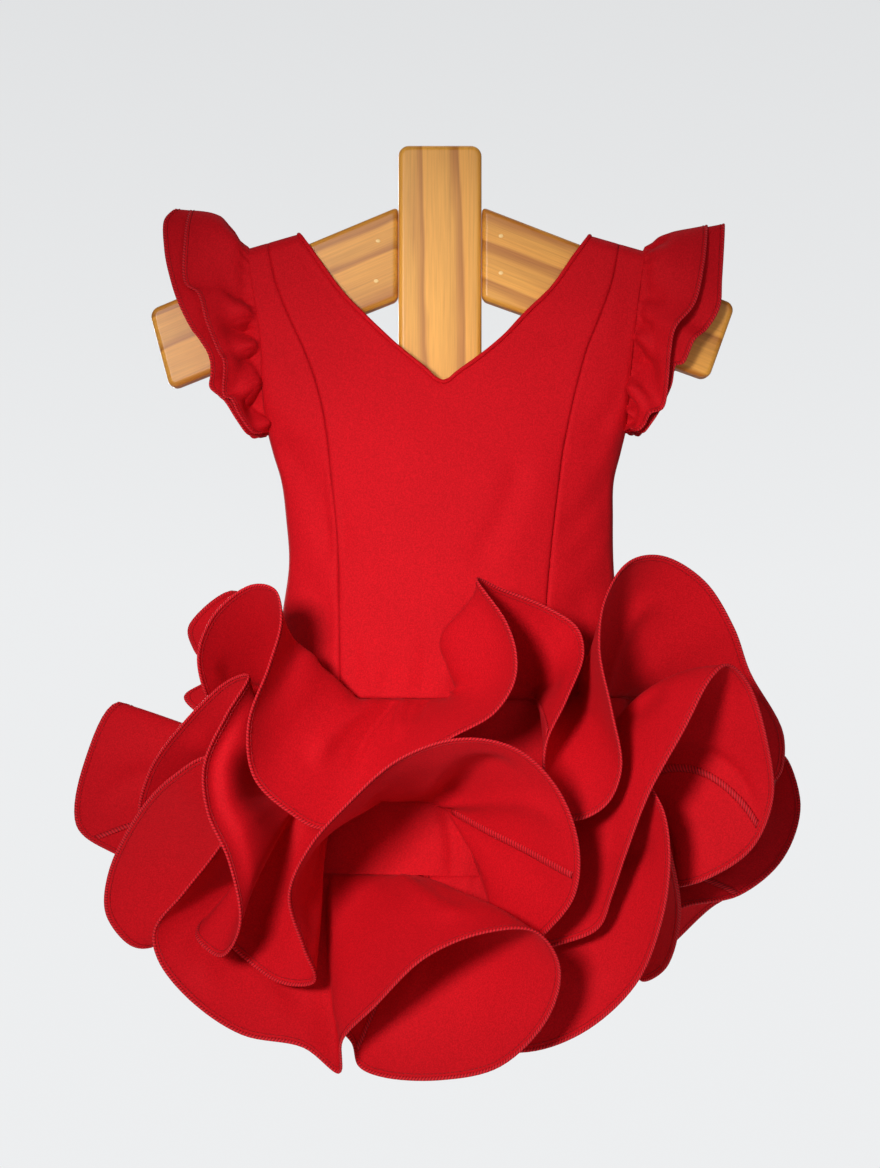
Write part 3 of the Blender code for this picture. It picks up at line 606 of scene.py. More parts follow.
def shoulder_z(x):
    """Height of the shoulder line at x."""
    across, up = zip(*SHOULDER)
    return np.interp(x, across, up)


def bodice_y(x, z, side, gap=0.15):
    """Depth of the bodice's cloth at (x, z), on the front (-1) or the back (1)."""
    left, right = section("left", z), section("right", z)
    s = np.clip((2 * x - left - right) / (right - left), -1, 1)
    edge = np.clip(section("edge", z), 0, 1)
    fall = np.clip((shoulder_z(x) - z) / ROLL, 0, 1)
    rolled = np.sqrt(1 - (1 - fall) ** 2)
    half = section("depth", z) * (edge + (1 - edge) * np.sqrt(1 - s * s)) * rolled
    return SEAM_Y + side * np.maximum(half, gap)


def creased(x, z, creases):
    """How far the cloth stands out of its plain form at (x, z), in mm."""
    out = np.zeros(np.shape(x))
    for fold in creases:
        run = np.array((fold.x1 - fold.x0, fold.z1 - fold.z0), float)
        length = np.hypot(*run)
        run /= length
        along = (x - fold.x0) * run[0] + (z - fold.z0) * run[1]
        aside = (x - fold.x0) * -run[1] + (z - fold.z0) * run[0]
        bow = 0.06 * length * np.sin(np.pi * np.clip(along / length, 0, 1))
        fade = np.clip(np.minimum(along + 10, length + 10 - along) / 24, 0, 1)
        fade = fade * fade * (3 - 2 * fade)
        out += CREASE_DEPTH * fold.depth * fade * np.exp(-(((aside - bow) / fold.width) ** 2))
    uneven = np.sin(x * 0.071 + 1.3 * np.sin(z * 0.031)) * np.sin(z * 0.047 + 0.9)
    return out + 0.35 * uneven


def neck_line(rows, count):
    """The neckline, shoulder to shoulder, with points closer at its ends and at its V."""
    x, z = np.array(rows).T
    run = np.concatenate(([0], np.cumsum(np.hypot(np.diff(x), np.diff(z)))))
    low = run[np.argmin(z)]
    half = (1 - np.cos(np.linspace(0, math.pi, count + 1))) / 2
    at = np.concatenate((low * half, low + (run[-1] - low) * half[1:]))
    return np.column_stack((through(at, run, x), through(at, run, z)))


def panel_edge(rows, count, gap=1.5):
    """Top edge of a panel beside the neckline, tucked under the binding."""
    line = neck_line(rows, count)
    step = np.gradient(line, axis=0)
    step /= np.linalg.norm(step, axis=1, keepdims=True)
    return line + gap * np.column_stack((step[:, 1], -step[:, 0]))


def shoulder_edge(start, end, count):
    """Points of the shoulder line from x = start to x = end."""
    x = np.linspace(start, end, count + 1)
    return np.column_stack((x, shoulder_z(x)))


def panel(first, last, top, side, rows, tucks):
    """A bodice panel: columns from the edge first(z) to last(z), from the hip up to top.

    tucks says which of its edges are sewn to the next panel, whose seam turns in there.
    """
    turns = math.pi / 2 * np.linspace(1, 0, 7)[1:]
    low = np.linspace(0, 1, rows)
    height = top[:, 1:] - HIP_Z
    z = np.hstack((HIP_Z + (height - ROLL) * low, top[:, 1:] - ROLL * (1 - np.cos(turns))))
    middle = (section("left", HIP_Z) + section("right", HIP_Z)) / 2
    half = (section("right", HIP_Z) - section("left", HIP_Z)) / 2
    ends = np.clip([(f(HIP_Z) - middle) / half for f in (first, last)], -1, 1)
    ends = np.arcsin(ends)
    foot = middle + half * np.sin(np.linspace(ends[0], ends[1], len(top)))
    foot_share = (foot - first(HIP_Z)) / (last(HIP_Z) - first(HIP_Z))
    top_share = (top[:, 0] - first(top[:, 1])) / (last(top[:, 1]) - first(top[:, 1]))
    rise = (z - HIP_Z) / height
    share = foot_share[:, None] * (1 - rise) + top_share[:, None] * rise
    x = first(z) + share * (last(z) - first(z))
    y = bodice_y(x, z, side)
    span = last(z) - first(z)
    edge = np.ones(np.shape(x))
    for sewn, away in zip(tucks, (share, 1 - share)):
        if sewn:
            edge = np.minimum(edge, np.clip(away * span / SEAM_WIDTH, 0, 1))
    creases = FRONT_CREASES if side < 0 else BACK_CREASES
    free = np.clip((shoulder_z(x) - z) / 40, 0, 1) * np.clip((z - HIP_Z) / 6, 0, 1)
    free = free * smooth(share * span / 7) * smooth((1 - share) * span / 7)
    y = y + side * (creased(x, z, creases) * free - SEAM_DEPTH * (1 - edge) ** 2)
    beside_neck = shoulder_z(top[:, :1]) - top[:, 1:] > 1.0
    from_neck = NECK_SLOPE * (top[:, 1:] - z)
    y = y - side * NECK_DEPTH * beside_neck * np.exp(-((from_neck / NECK_WIDTH) ** 2))
    return np.stack((x, y, z), axis=-1)


def finer(curve, share):
    """Points of the curve at shares of its length."""
    run = np.concatenate(([0], np.cumsum(np.linalg.norm(np.diff(curve, axis=0), axis=1))))
    return np.column_stack([np.interp(share * run[-1], run, line) for line in curve.T])


def hip_ring(angle, z, out=0.0):
    """Points of the skirt at angles round it, moved out along its normal."""
    heights, widths, depths = np.array(SKIRT[::-1]).T
    a, b = np.interp(z, heights, widths), np.interp(z, heights, depths)
    turn = np.radians(angle)
    normal = np.stack((np.sin(turn) / a, -np.cos(turn) / b), axis=-1)
    normal /= np.linalg.norm(normal, axis=-1, keepdims=True)
    x = SKIRT_MIDDLE + a * np.sin(turn) + out * normal[..., 0]
    y = SEAM_Y - b * np.cos(turn) + out * normal[..., 1]
    return np.stack((x, y, np.broadcast_to(z, np.shape(x))), axis=-1)


def closed_curve(points, count):
    """Smooth closed curve through the points, count steps from each to the next."""
    steps = np.linspace(0, 1, count, endpoint=False)[:, None]
    curve = []
    for k in range(len(points)):
        p = [points[(k + j) % len(points)] for j in (-1, 0, 1, 2)]
        gaps = [np.linalg.norm(p[j + 1] - p[j]) ** HEM_SOFTNESS for j in range(3)]
        t0, t1, t2, t3 = np.cumsum([0] + gaps)
        t = t1 + (t2 - t1) * steps
        a1 = p[0] + (p[1] - p[0]) * (t - t0) / (t1 - t0)
        a2 = p[1] + (p[2] - p[1]) * (t - t1) / (t2 - t1)
        a3 = p[2] + (p[3] - p[2]) * (t - t2) / (t3 - t2)
        b1 = a1 + (a2 - a1) * (t - t0) / (t2 - t0)
        b2 = a2 + (a3 - a2) * (t - t1) / (t3 - t1)
        curve.append(b1 + (b2 - b1) * (t - t1) / (t2 - t1))
    return np.concatenate(curve)


def flounce(seam_z, folds, per_row, rows):
    """A flounce: cloth from the seam round the hip out to its hem, as a closed grid."""
    table = np.array([row for fold in folds.values() for row in fold])
    hem = closed_curve(table[:, 1:4], per_row)
    at = np.arange(len(hem)) / per_row
    whole = np.arange(len(table) + 1)
    angle = np.interp(at, whole, np.append(table[:, 0], table[0, 0] + 360))
    belly = np.interp(at, whole, np.append(table[:, 4], table[0, 4]))[:, None, None]
    root = hip_ring(angle, seam_z, FLOUNCE_GAP)
    chord = hem - root
    chord /= np.linalg.norm(chord, axis=1, keepdims=True)
    up = np.array((0, 0, 1)) - chord * chord[:, 2:]
    up /= np.linalg.norm(up, axis=1, keepdims=True)
    v = np.linspace(0, 1, rows + 1)[None, :, None]
    return root[:, None] * (1 - v) + hem[:, None] * v + 4 * v * (1 - v) * belly * up[:, None]


def normals(grid, closed):
    """Unit normals of a grid of points, columns first."""
    if closed:
        across = np.roll(grid, -1, axis=0) - np.roll(grid, 1, axis=0)
    else:
        across = np.gradient(grid, axis=0)
    along = np.gradient(grid, axis=1)
    out = np.cross(across, along)
    return out / np.maximum(np.linalg.norm(out, axis=-1, keepdims=True), 1e-9)


def soft_waves(grid, closed):
    """Unevenness of hanging cloth: slow waves that are nowhere the same, up to 0.8 mm."""
    x, y, z = np.moveaxis(grid, -1, 0)
    slow = np.sin(0.043 * x + 0.029 * z + 2.1 * np.sin(0.021 * y + 0.4))
    cross = np.sin(0.051 * z - 0.037 * x + 1.7 * np.sin(0.027 * y + 1.9))
    v = np.linspace(0, 1, grid.shape[1])[None, :, None]
    return grid + normals(grid, closed) * (slow * cross)[..., None] * 0.8 * np.sin(np.pi * v)


def fold_place(folds, name, row):
    """Where a row of the named fold stands in the whole hem, counted in rows."""
    before = 0
    for fold, rows in folds.items():
        if fold == name:
            return before + row
        before += len(rows)
    raise KeyError(name)


def armhole(column, depth, count):
    """Where a ruffle is sewn, just under the bodice's cloth: up the front of the armhole,
    over the shoulder and down."""
    inward = -1 if column == "right" else 1
    top = shoulder_z(section(column, BODICE[-1].z))
    turns = np.linspace(math.pi / 2, 0, 9)
    z = np.concatenate((
        np.linspace(ARMHOLE_FOOT, top - ROLL, 33)[:-1], top - ROLL * (1 - np.cos(turns))))
    x = section(column, z)
    y = bodice_y(x, z, -1, 0.0)
    over = np.clip((shoulder_z(x) - z) / ROLL, 0, 1)
    front = np.column_stack((
        x + inward * ROOT_IN, y + depth * np.sqrt(over), z - depth * (1 - over)))
    back = front[-2::-1] * (1, -1, 1) + (0, 2 * SEAM_Y, 0)
    return finer(np.vstack((front, back)), np.linspace(0, 1, count + 1))


def ruffle(name, count, rows):
    """A sleeve ruffle: cloth gathered at the armhole and free at its hem, as an open grid."""
    front = np.array(SLEEVES[name])
    back = front[-2::-1] * (-1, 1, -1, 1) + (1, 0, 2 * SEAM_Y, 0)
    table = np.vstack((front, back))
    share = np.linspace(0, 1, count + 1)
    hem = np.column_stack([through(share, table[:, 0], line) for line in table[:, 1:].T])
    side = "right" if name.endswith("right") else "left"
    root = armhole(side, UPPER_LAYER if "upper" in name else UNDER_LAYER, count)
    v = np.linspace(0, 1, rows + 1)[None, :, None]
    grid = root[:, None] * (1 - v) + hem[:, None] * v
    out = normals(grid, False)
    out *= np.sign(out[count // 2, rows // 2, 2])
    ends = np.clip(np.minimum(share, 1 - share) / 0.04, 0, 1)[:, None]
    out = out * (gathered(share, v[..., 0], GATHERS[side]) * ends)[..., None]
    crown = CROWN[side]
    raised = crown.rise * np.exp(-(((share - 0.5) / crown.width) ** 2))[:, None]
    out[..., 2] += raised * np.sin(np.pi * v[..., 0] ** crown.lean)
    return grid + out


def gathered(share, v, folds):
    """How far a ruffle stands out of its plain form: the back repeats the front, softer."""
    out = 0.7 * np.sin(share * 260 + 2 * np.sin(share * 41))[:, None] * smooth(v / 0.08)
    out = out * (1 - smooth(v / 0.35)) - 2.2 * np.exp(-(((v - 0.13) / 0.09) ** 2))
    front = np.minimum(share, 1.006 - share * 1.012)[:, None]
    weaker = np.where(share > 0.5, 0.85, 1.0)[:, None]
    for fold in folds:
        spread = fold.width * (1 + 0.9 * v)
        along = smooth(v / 0.22) * (1 - smooth((v - 0.3) / (fold.reach - 0.3)))
        near = np.exp(-(((front - fold.share) / spread) ** 2))
        out = out + GATHER_DEPTH * fold.depth * weaker * along * near
    return out


def smooth(share):
    """Eases from 0 to 1."""
    share = np.clip(share, 0, 1)
    return share * share * (3 - 2 * share)


def bulged(grid, folds, steps, bulges):
    """A flounce with its cloth moved where it stands away from its plain slope."""
    count = len(grid)
    v = np.linspace(0, 1, grid.shape[1])[None, :]
    free = smooth(v / 0.12) * smooth((1 - v) / 0.25)
    for bulge in bulges:
        away = np.arange(count) - fold_place(folds, bulge.fold, bulge.row) * steps
        away = (away + count / 2) % count - count / 2
        near = np.exp(-((away[:, None] / steps / bulge.rows) ** 2))
        near = near * np.exp(-(((v - bulge.drop) / bulge.spread) ** 2)) * free
        grid = grid + near[..., None] * (bulge.x, bulge.y, bulge.z)
    return grid


def tucked(grid, folds, steps, tucks):
    """A flounce with its soft folds and the puckers along its seam."""
    ring = np.concatenate((grid, grid[:1]))
    across = np.linalg.norm(np.diff(ring[:, grid.shape[1] // 2], axis=0), axis=1)
    run = np.concatenate(([0], np.cumsum(across)))
    drop = np.cumsum(np.linalg.norm(np.diff(grid, axis=1), axis=2), axis=1)
    drop = np.hstack((np.zeros((len(grid), 1)), drop))
    at = np.arange(len(grid))
    creases = []
    for tuck in tucks:
        ends = [fold_place(folds, tuck.fold, row) * steps for row in (tuck.row, tuck.to_row)]
        x0, x1 = np.interp(ends, np.arange(len(run)), run)
        z0, z1 = np.interp(ends, at, drop[:, -1]) * (tuck.drop, tuck.to_drop)
        creases.append(Crease(x0, z0, x1, z1, tuck.width, TUCK_DEPTH * tuck.depth))
    x = np.broadcast_to(run[:-1, None], drop.shape)
    out = creased(x, drop, creases)
    out = out + 0.45 * np.sin(x / 4.3 + 1.9 * np.sin(x / 17)) * np.exp(-drop / 14)
    free = smooth(drop / 6) * smooth((drop[:, -1:] - drop) / 8)
    return grid + normals(grid, True) * (out * free)[..., None]


def sheet_mesh(name, grid, closed):
    """A cloth mesh from a grid of points in mm, with its run and drop in metres as its UVs."""
    columns, rows = grid.shape[:2]
    around = columns if closed else columns - 1
    points = grid.reshape(-1, 3) * MM
    left = (np.arange(around)[:, None] * rows + np.arange(rows - 1)[None, :]).ravel()
    step = np.tile(np.arange(rows - 1), around)
    right = ((left - step) // rows + 1) % columns * rows + step
    faces = np.column_stack((left, right, right + 1, left + 1))
    mesh = bpy.data.meshes.new(name)
    mesh.from_pydata(points, [], faces.tolist())
    ring = np.concatenate((grid, grid[:1])) if closed else grid
    middle = ring[:, rows // 2]
    run = np.concatenate(([0], np.cumsum(np.linalg.norm(np.diff(middle, axis=0), axis=1))))
    drop = np.cumsum(np.linalg.norm(np.diff(ring, axis=1), axis=2), axis=1)
    drop = np.hstack((np.zeros((len(ring), 1)), drop))
    column = np.repeat(np.arange(around), rows - 1)
    corners = ((column, step), (column + 1, step), (column + 1, step + 1), (column, step + 1))
    places = np.stack([np.column_stack((run[c], drop[c, r])) for c, r in corners], axis=1)
    mesh.uv_layers.new(name="Cloth").data.foreach_set("uv", (places * MM).ravel())
    mesh.shade_smooth()
    return mesh


def add(name, mesh, look):
    """Links a piece, gives it its finish and lets it ride with the dress."""
    piece = bpy.data.objects.new(name, mesh)
    bpy.context.scene.collection.objects.link(piece)
    mesh.materials.clear()
    mesh.materials.append(look)
    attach(piece, "root")
    return piece


def thicken(piece, wall):
    """Gives a cloth its wall, half of it on either side."""
    thick = piece.modifiers.new("Cloth", "SOLIDIFY")
    thick.thickness = wall
    thick.offset = 0.0
    return piece


def edge_mesh(name, grid, closed, width, height, sides=10):
    """Overlocked edge: a flat roll of thread round the last row of a grid of cloth."""
    hem = grid[:, -1]
    inward = grid[:, -2] - hem
    inward /= np.linalg.norm(inward, axis=1, keepdims=True)
    out = normals(grid, closed)[:, -1]
    turn = np.linspace(0, 2 * math.pi, sides, endpoint=False)
    across = (0.38 + 0.5 * np.cos(turn)) * width / MM
    over = 0.5 * np.sin(turn) * height / MM
    tube = (hem[:, None] + inward[:, None] * across[None, :, None]
            + out[:, None] * over[None, :, None])
    return tube_mesh(name, np.concatenate((tube, tube[:, :1]), axis=1), closed)


def tube_mesh(name, grid, closed):
    """A tube from rings of points in mm, first point repeated last: welded, ends closed."""
    mesh = sheet_mesh(name, grid, closed)
    shape = bmesh.new()
    shape.from_mesh(mesh)
    bmesh.ops.remove_doubles(shape, verts=shape.verts, dist=1e-6)
    ends = [edge for edge in shape.edges if edge.is_boundary]
    bmesh.ops.holes_fill(shape, edges=ends, sides=grid.shape[1] - 1)
    bmesh.ops.recalc_face_normals(shape, faces=shape.faces)
    shape.to_mesh(mesh)
    shape.free()
    mesh.shade_smooth()
    return mesh


def hem_lines(grid, closed, inset, lift):
    """Lines for the hem stitches, on both faces of the cloth."""
    inward = grid[:, -3] - grid[:, -1]
    inward /= np.linalg.norm(inward, axis=1, keepdims=True)
    row, out = grid[:, -1] + inward * inset, normals(grid, closed)[:, -2]
    lines = [row + side * lift * out for side in (-1, 1)]
    return [(line if closed else line[4:-4], closed) for line in lines]


def stitch_tree():
    """Geometry Nodes that lay stitches along the lines of a mesh."""
    tree = bpy.data.node_groups.new("Stitches along a line", "GeometryNodeTree")
    face = tree.interface
    face.new_socket("Line", in_out="INPUT", socket_type="NodeSocketGeometry")
    sockets = {}
    for label in ("Spacing", "Length", "Thread"):
        socket = face.new_socket(label, in_out="INPUT", socket_type="NodeSocketFloat")
        sockets[label] = socket.identifier
    sockets["Thread Finish"] = face.new_socket(
        "Thread Finish", in_out="INPUT", socket_type="NodeSocketMaterial").identifier
    face.new_socket("Stitches", in_out="OUTPUT", socket_type="NodeSocketGeometry")
    nodes, links = tree.nodes, tree.links
    given = nodes.new("NodeGroupInput")
    to_curve = nodes.new("GeometryNodeMeshToCurve")
    spaced = nodes.new("GeometryNodeResampleCurve")
    spaced.mode = "LENGTH"
    tangent = nodes.new("GeometryNodeInputTangent")
    align = nodes.new("FunctionNodeAlignRotationToVector")
    align.axis = "Z"
    stitch = nodes.new("GeometryNodeMeshCylinder")
    stitch.fill_type = "TRIANGLE_FAN"
    stitch.inputs["Vertices"].default_value = 6
    scatter = nodes.new("GeometryNodeInstanceOnPoints")
    real = nodes.new("GeometryNodeRealizeInstances")
    finish = nodes.new("GeometryNodeSetMaterial")
    made = nodes.new("NodeGroupOutput")
    links.new(given.outputs["Line"], to_curve.inputs["Mesh"])
    links.new(to_curve.outputs["Curve"], spaced.inputs["Curve"])
    links.new(given.outputs["Spacing"], spaced.inputs["Length"])
    links.new(spaced.outputs["Curve"], scatter.inputs["Points"])
    links.new(tangent.outputs["Tangent"], align.inputs["Vector"])
    links.new(align.outputs["Rotation"], scatter.inputs["Rotation"])
    links.new(given.outputs["Thread"], stitch.inputs["Radius"])
    links.new(given.outputs["Length"], stitch.inputs["Depth"])
    links.new(stitch.outputs["Mesh"], scatter.inputs["Instance"])
    links.new(scatter.outputs["Instances"], real.inputs["Geometry"])
    links.new(real.outputs["Geometry"], finish.inputs["Geometry"])
    links.new(given.outputs["Thread Finish"], finish.inputs["Material"])
    links.new(finish.outputs["Geometry"], made.inputs["Stitches"])
    return tree, sockets


STITCH_TREE = []


def stitches(name, lines, look, length=None, spacing=None):
    """Stitches along lines of points in mm: (points, closed) for each."""
    trim = bpy.context.scene.dress_trim
    points, edges, start = [], [], 0
    for line, closed in lines:
        count = len(line)
        points.extend((np.asarray(line) * MM).tolist())
        edges.extend((start + k, start + k + 1) for k in range(count - 1))
        if closed:
            edges.append((start + count - 1, start))
        start += count
    mesh = bpy.data.meshes.new(name)
    mesh.from_pydata(points, edges, [])
    guide = bpy.data.objects.new(name + "_line", mesh)
    bpy.context.scene.collection.objects.link(guide)
    if not STITCH_TREE:
        STITCH_TREE.extend(stitch_tree())
    tree, sockets = STITCH_TREE
    nodes = guide.modifiers.new("Stitches", "NODES")
    nodes.node_group = tree
    nodes[sockets["Spacing"]] = spacing or trim.stitch_spacing
    nodes[sockets["Length"]] = length or trim.stitch_length
    nodes[sockets["Thread"]] = trim.thread
    nodes[sockets["Thread Finish"]] = look
    evaluated = guide.evaluated_get(bpy.context.evaluated_depsgraph_get())
    plain = bpy.data.meshes.new_from_object(evaluated)
    plain.name = name
    bpy.data.objects.remove(guide, do_unlink=True)
    return add(name, plain, look)


def set_stops(ramp, stops):
    """Gives a colour ramp its stops, each a place and a colour."""
    while len(ramp.elements) < len(stops):
        ramp.elements.new(0.5)
    for element, (place, colour) in zip(ramp.elements, stops):
        element.position = place
        element.color = (*colour, 1.0)


class NodeKit:
    """Short ways to lay out a material's nodes."""

    def __init__(self, name):
        self.material = bpy.data.materials.new(name)
        self.material.use_nodes = True
        self.nodes = self.material.node_tree.nodes
        self.links = self.material.node_tree.links
        self.shader = self.nodes["Principled BSDF"]

    def feed(self, node, inputs):
        """Sets a node's inputs, by name or number, to values or other nodes' outputs."""
        for key, value in inputs.items():
            if isinstance(value, bpy.types.NodeSocket):
                self.links.new(value, node.inputs[key])
            else:
                node.inputs[key].default_value = value

    def add(self, kind, inputs, **settings):
        node = self.nodes.new(kind)
        for key, value in settings.items():
            setattr(node, key, value)
        self.feed(node, inputs)
        return node

    def surface(self, inputs):
        """Sets the shader's inputs; the finished material."""
        self.feed(self.shader, inputs)
        return self.material

    def ramp(self, factor, stops):
        node = self.add("ShaderNodeValToRGB", {"Fac": factor})
        set_stops(node.color_ramp, stops)
        return node.outputs["Color"]


def tone(colour, factor):
    """The colour made lighter (over 1) or darker (under 1)."""
    return tuple(min(1.0, part * factor) for part in colour)


def crepe_finish(name="Red crepe"):
    """Matt crepe: pebbled grain with painted shade in its hollows and a painted highlight on its
    tops, a fine weave along the UVs, slow changes of depth.
    """
    cloth = bpy.context.scene.dress_cloth
    kit = NodeKit(name)
    place = kit.nodes.new("ShaderNodeTexCoord").outputs["Object"]
    grain = kit.add("ShaderNodeTexNoise", {
        "Vector": place, "Scale": 1 / cloth.crepe_grain, "Detail": 2.0, "Roughness": 0.6})
    slow = kit.add("ShaderNodeTexNoise", {
        "Vector": place, "Scale": 14.0, "Detail": 3.0, "Roughness": 0.55})
    blend = kit.add("ShaderNodeMix", {
        "Factor": 0.13, "A": grain.outputs["Fac"], "B": slow.outputs["Fac"]}, data_type="FLOAT")
    # Painted shade and highlight: where the grain that the bump raises is low, the crepe takes
    # the darker hollows colour; where it is high, it takes a lighter copy of its colour. A little
    # slow noise adds random tone.
    colour = kit.ramp(blend.outputs["Result"], (
        (0.38, cloth.painted_hollow_shade), (0.50, cloth.colour), (0.64, tone(cloth.colour, 1.15))))
    kit.links.new(colour, kit.shader.inputs["Base Color"])
    run = kit.nodes.new("ShaderNodeTexCoord").outputs["UV"]
    warp, weft = (kit.add("ShaderNodeTexWave", {
        "Vector": run, "Scale": 420.0, "Distortion": 0.8, "Detail": 1.0}, bands_direction=way)
        for way in "XY")
    weave = kit.add(
        "ShaderNodeMath", {0: warp.outputs["Fac"], 1: weft.outputs["Fac"]}, operation="MAXIMUM")
    fine = kit.add("ShaderNodeBump", {
        "Strength": 0.25, "Distance": 0.0002, "Height": weave.outputs["Value"]})
    pebble = kit.add("ShaderNodeBump", {
        "Strength": 0.4, "Distance": 0.0003, "Height": grain.outputs["Fac"],
        "Normal": fine.outputs["Normal"]})
    return kit.surface({
        "Normal": pebble.outputs["Normal"], "Roughness": 0.78, "Specular IOR Level": 0.12,
        "Sheen Weight": 0.04, "Sheen Roughness": 0.4, "Sheen Tint": (1.0, 0.20, 0.25, 1.0)})


def thread_finish(name, colour, pitch, slant):
    """Overlocked thread: slanted ribs along the edge, lighter than the cloth, with painted shade
    between the ribs and a painted highlight on them.
    """
    kit = NodeKit(name)
    run = kit.nodes.new("ShaderNodeTexCoord").outputs["UV"]
    turned = kit.add("ShaderNodeMapping", {"Vector": run, "Rotation": (0, 0, slant)})
    ribs = kit.add("ShaderNodeTexWave", {
        "Vector": turned.outputs["Vector"], "Scale": 0.314 / pitch, "Distortion": 0.6,
        "Detail": 1.0, "Detail Scale": 2.0}, bands_direction="X")
    # Painted shade and highlight: the grooves between the ribs, which the bump sinks, are darker,
    # and the ribs' crests are lighter.
    ribs_with_painted_shade = kit.ramp(ribs.outputs["Fac"], (
        (0.15, tone(colour, 0.55)), (0.50, colour), (0.9, tone(colour, 1.2))))
    kit.links.new(ribs_with_painted_shade, kit.shader.inputs["Base Color"])
    bump = kit.add("ShaderNodeBump", {
        "Strength": 0.6, "Distance": 0.0004, "Height": ribs.outputs["Fac"]})
    return kit.surface({
        "Normal": bump.outputs["Normal"], "Roughness": 0.6, "Specular IOR Level": 0.15})


def pine_finish(name, angle, shift):
    """Varnished pine: long bands of early and late wood along the board, a satin coat."""
    wood = bpy.context.scene.hanger_wood
    kit = NodeKit(name)
    place = kit.nodes.new("ShaderNodeTexCoord").outputs["Object"]
    turned = kit.add("ShaderNodeMapping", {
        "Vector": place, "Rotation": (0, angle, 0), "Location": shift})
    long = kit.add("ShaderNodeMapping", {
        "Vector": turned.outputs["Vector"], "Scale": (1.0, 0.8, 0.10)})
    warp = kit.add("ShaderNodeTexNoise", {
        "Vector": long.outputs["Vector"], "Scale": 30.0, "Detail": 3.0, "Roughness": 0.55})
    pull = kit.add("ShaderNodeVectorMath", {
        "Vector": warp.outputs["Color"], "Scale": 0.045}, operation="SCALE")
    bent = kit.add("ShaderNodeVectorMath", {
        0: long.outputs["Vector"], 1: pull.outputs["Vector"]}, operation="ADD")
    rings = kit.add("ShaderNodeTexWave", {
        "Vector": bent.outputs["Vector"], "Scale": 11.0, "Distortion": 2.4, "Detail": 3.0,
        "Detail Scale": 1.6}, bands_direction="X", wave_profile="SAW")
    fibre_place = kit.add("ShaderNodeMapping", {
        "Vector": turned.outputs["Vector"], "Scale": (1.0, 1.0, 0.02)})
    fibres = kit.add("ShaderNodeTexNoise", {
        "Vector": fibre_place.outputs["Vector"], "Scale": 700.0, "Detail": 3.0,
        "Roughness": 0.7})
    patch = kit.add("ShaderNodeTexNoise", {
        "Vector": long.outputs["Vector"], "Scale": 9.0, "Detail": 2.0})
    banded = kit.ramp(rings.outputs["Fac"], (
        (0.04, wood.light), (0.55, tone(wood.light, 0.88)), (0.86, wood.dark),
        (0.96, wood.light)))
    grains = kit.ramp(fibres.outputs["Fac"], ((0.30, (0.74, 0.66, 0.55)), (0.62, (1, 1, 1))))
    patches = kit.ramp(patch.outputs["Fac"], ((0.35, (0.80, 0.70, 0.55)), (0.60, (1, 1, 1))))
    stained = kit.add(
        "ShaderNodeMix", {"Factor": 0.75, "A": banded, "B": grains},
        data_type="RGBA", blend_type="MULTIPLY")
    mottled = kit.add(
        "ShaderNodeMix", {"Factor": 0.6, "A": stained.outputs["Result"], "B": patches},
        data_type="RGBA", blend_type="MULTIPLY")
    bump = kit.add("ShaderNodeBump", {
        "Strength": 0.15, "Distance": 0.0002, "Height": fibres.outputs["Fac"]})
    return kit.surface({
        "Base Color": mottled.outputs["Result"], "Normal": bump.outputs["Normal"],
        "Roughness": 0.45, "Specular IOR Level": 0.35, "Coat Weight": 0.12,
        "Coat Roughness": 0.18})


def filler_finish(name):
    """Pale wood filler."""
    return NodeKit(name).surface({"Base Color": (1.0, 0.66, 0.26, 1.0), "Roughness": 0.4})


FINISHES = {}


def finish(name, maker, *facts):
    """The named finish, made once."""
    if name not in FINISHES:
        FINISHES[name] = maker(name, *facts)
    return FINISHES[name]


def crepe():
    """Finish of the dress's cloth."""
    return finish("Red crepe", crepe_finish)


def thread():
    """Finish of the overlocked edges and stitches."""
    colour = tuple(bpy.context.scene.dress_trim.colour)
    return finish("Red thread", thread_finish, colour, 0.0021, 0.5)


def ladder():
    """Finish of the serged seams."""
    colour = tone(bpy.context.scene.dress_trim.colour, 0.92)
    return finish("Red serging", thread_finish, colour, 0.0024, 0.25)


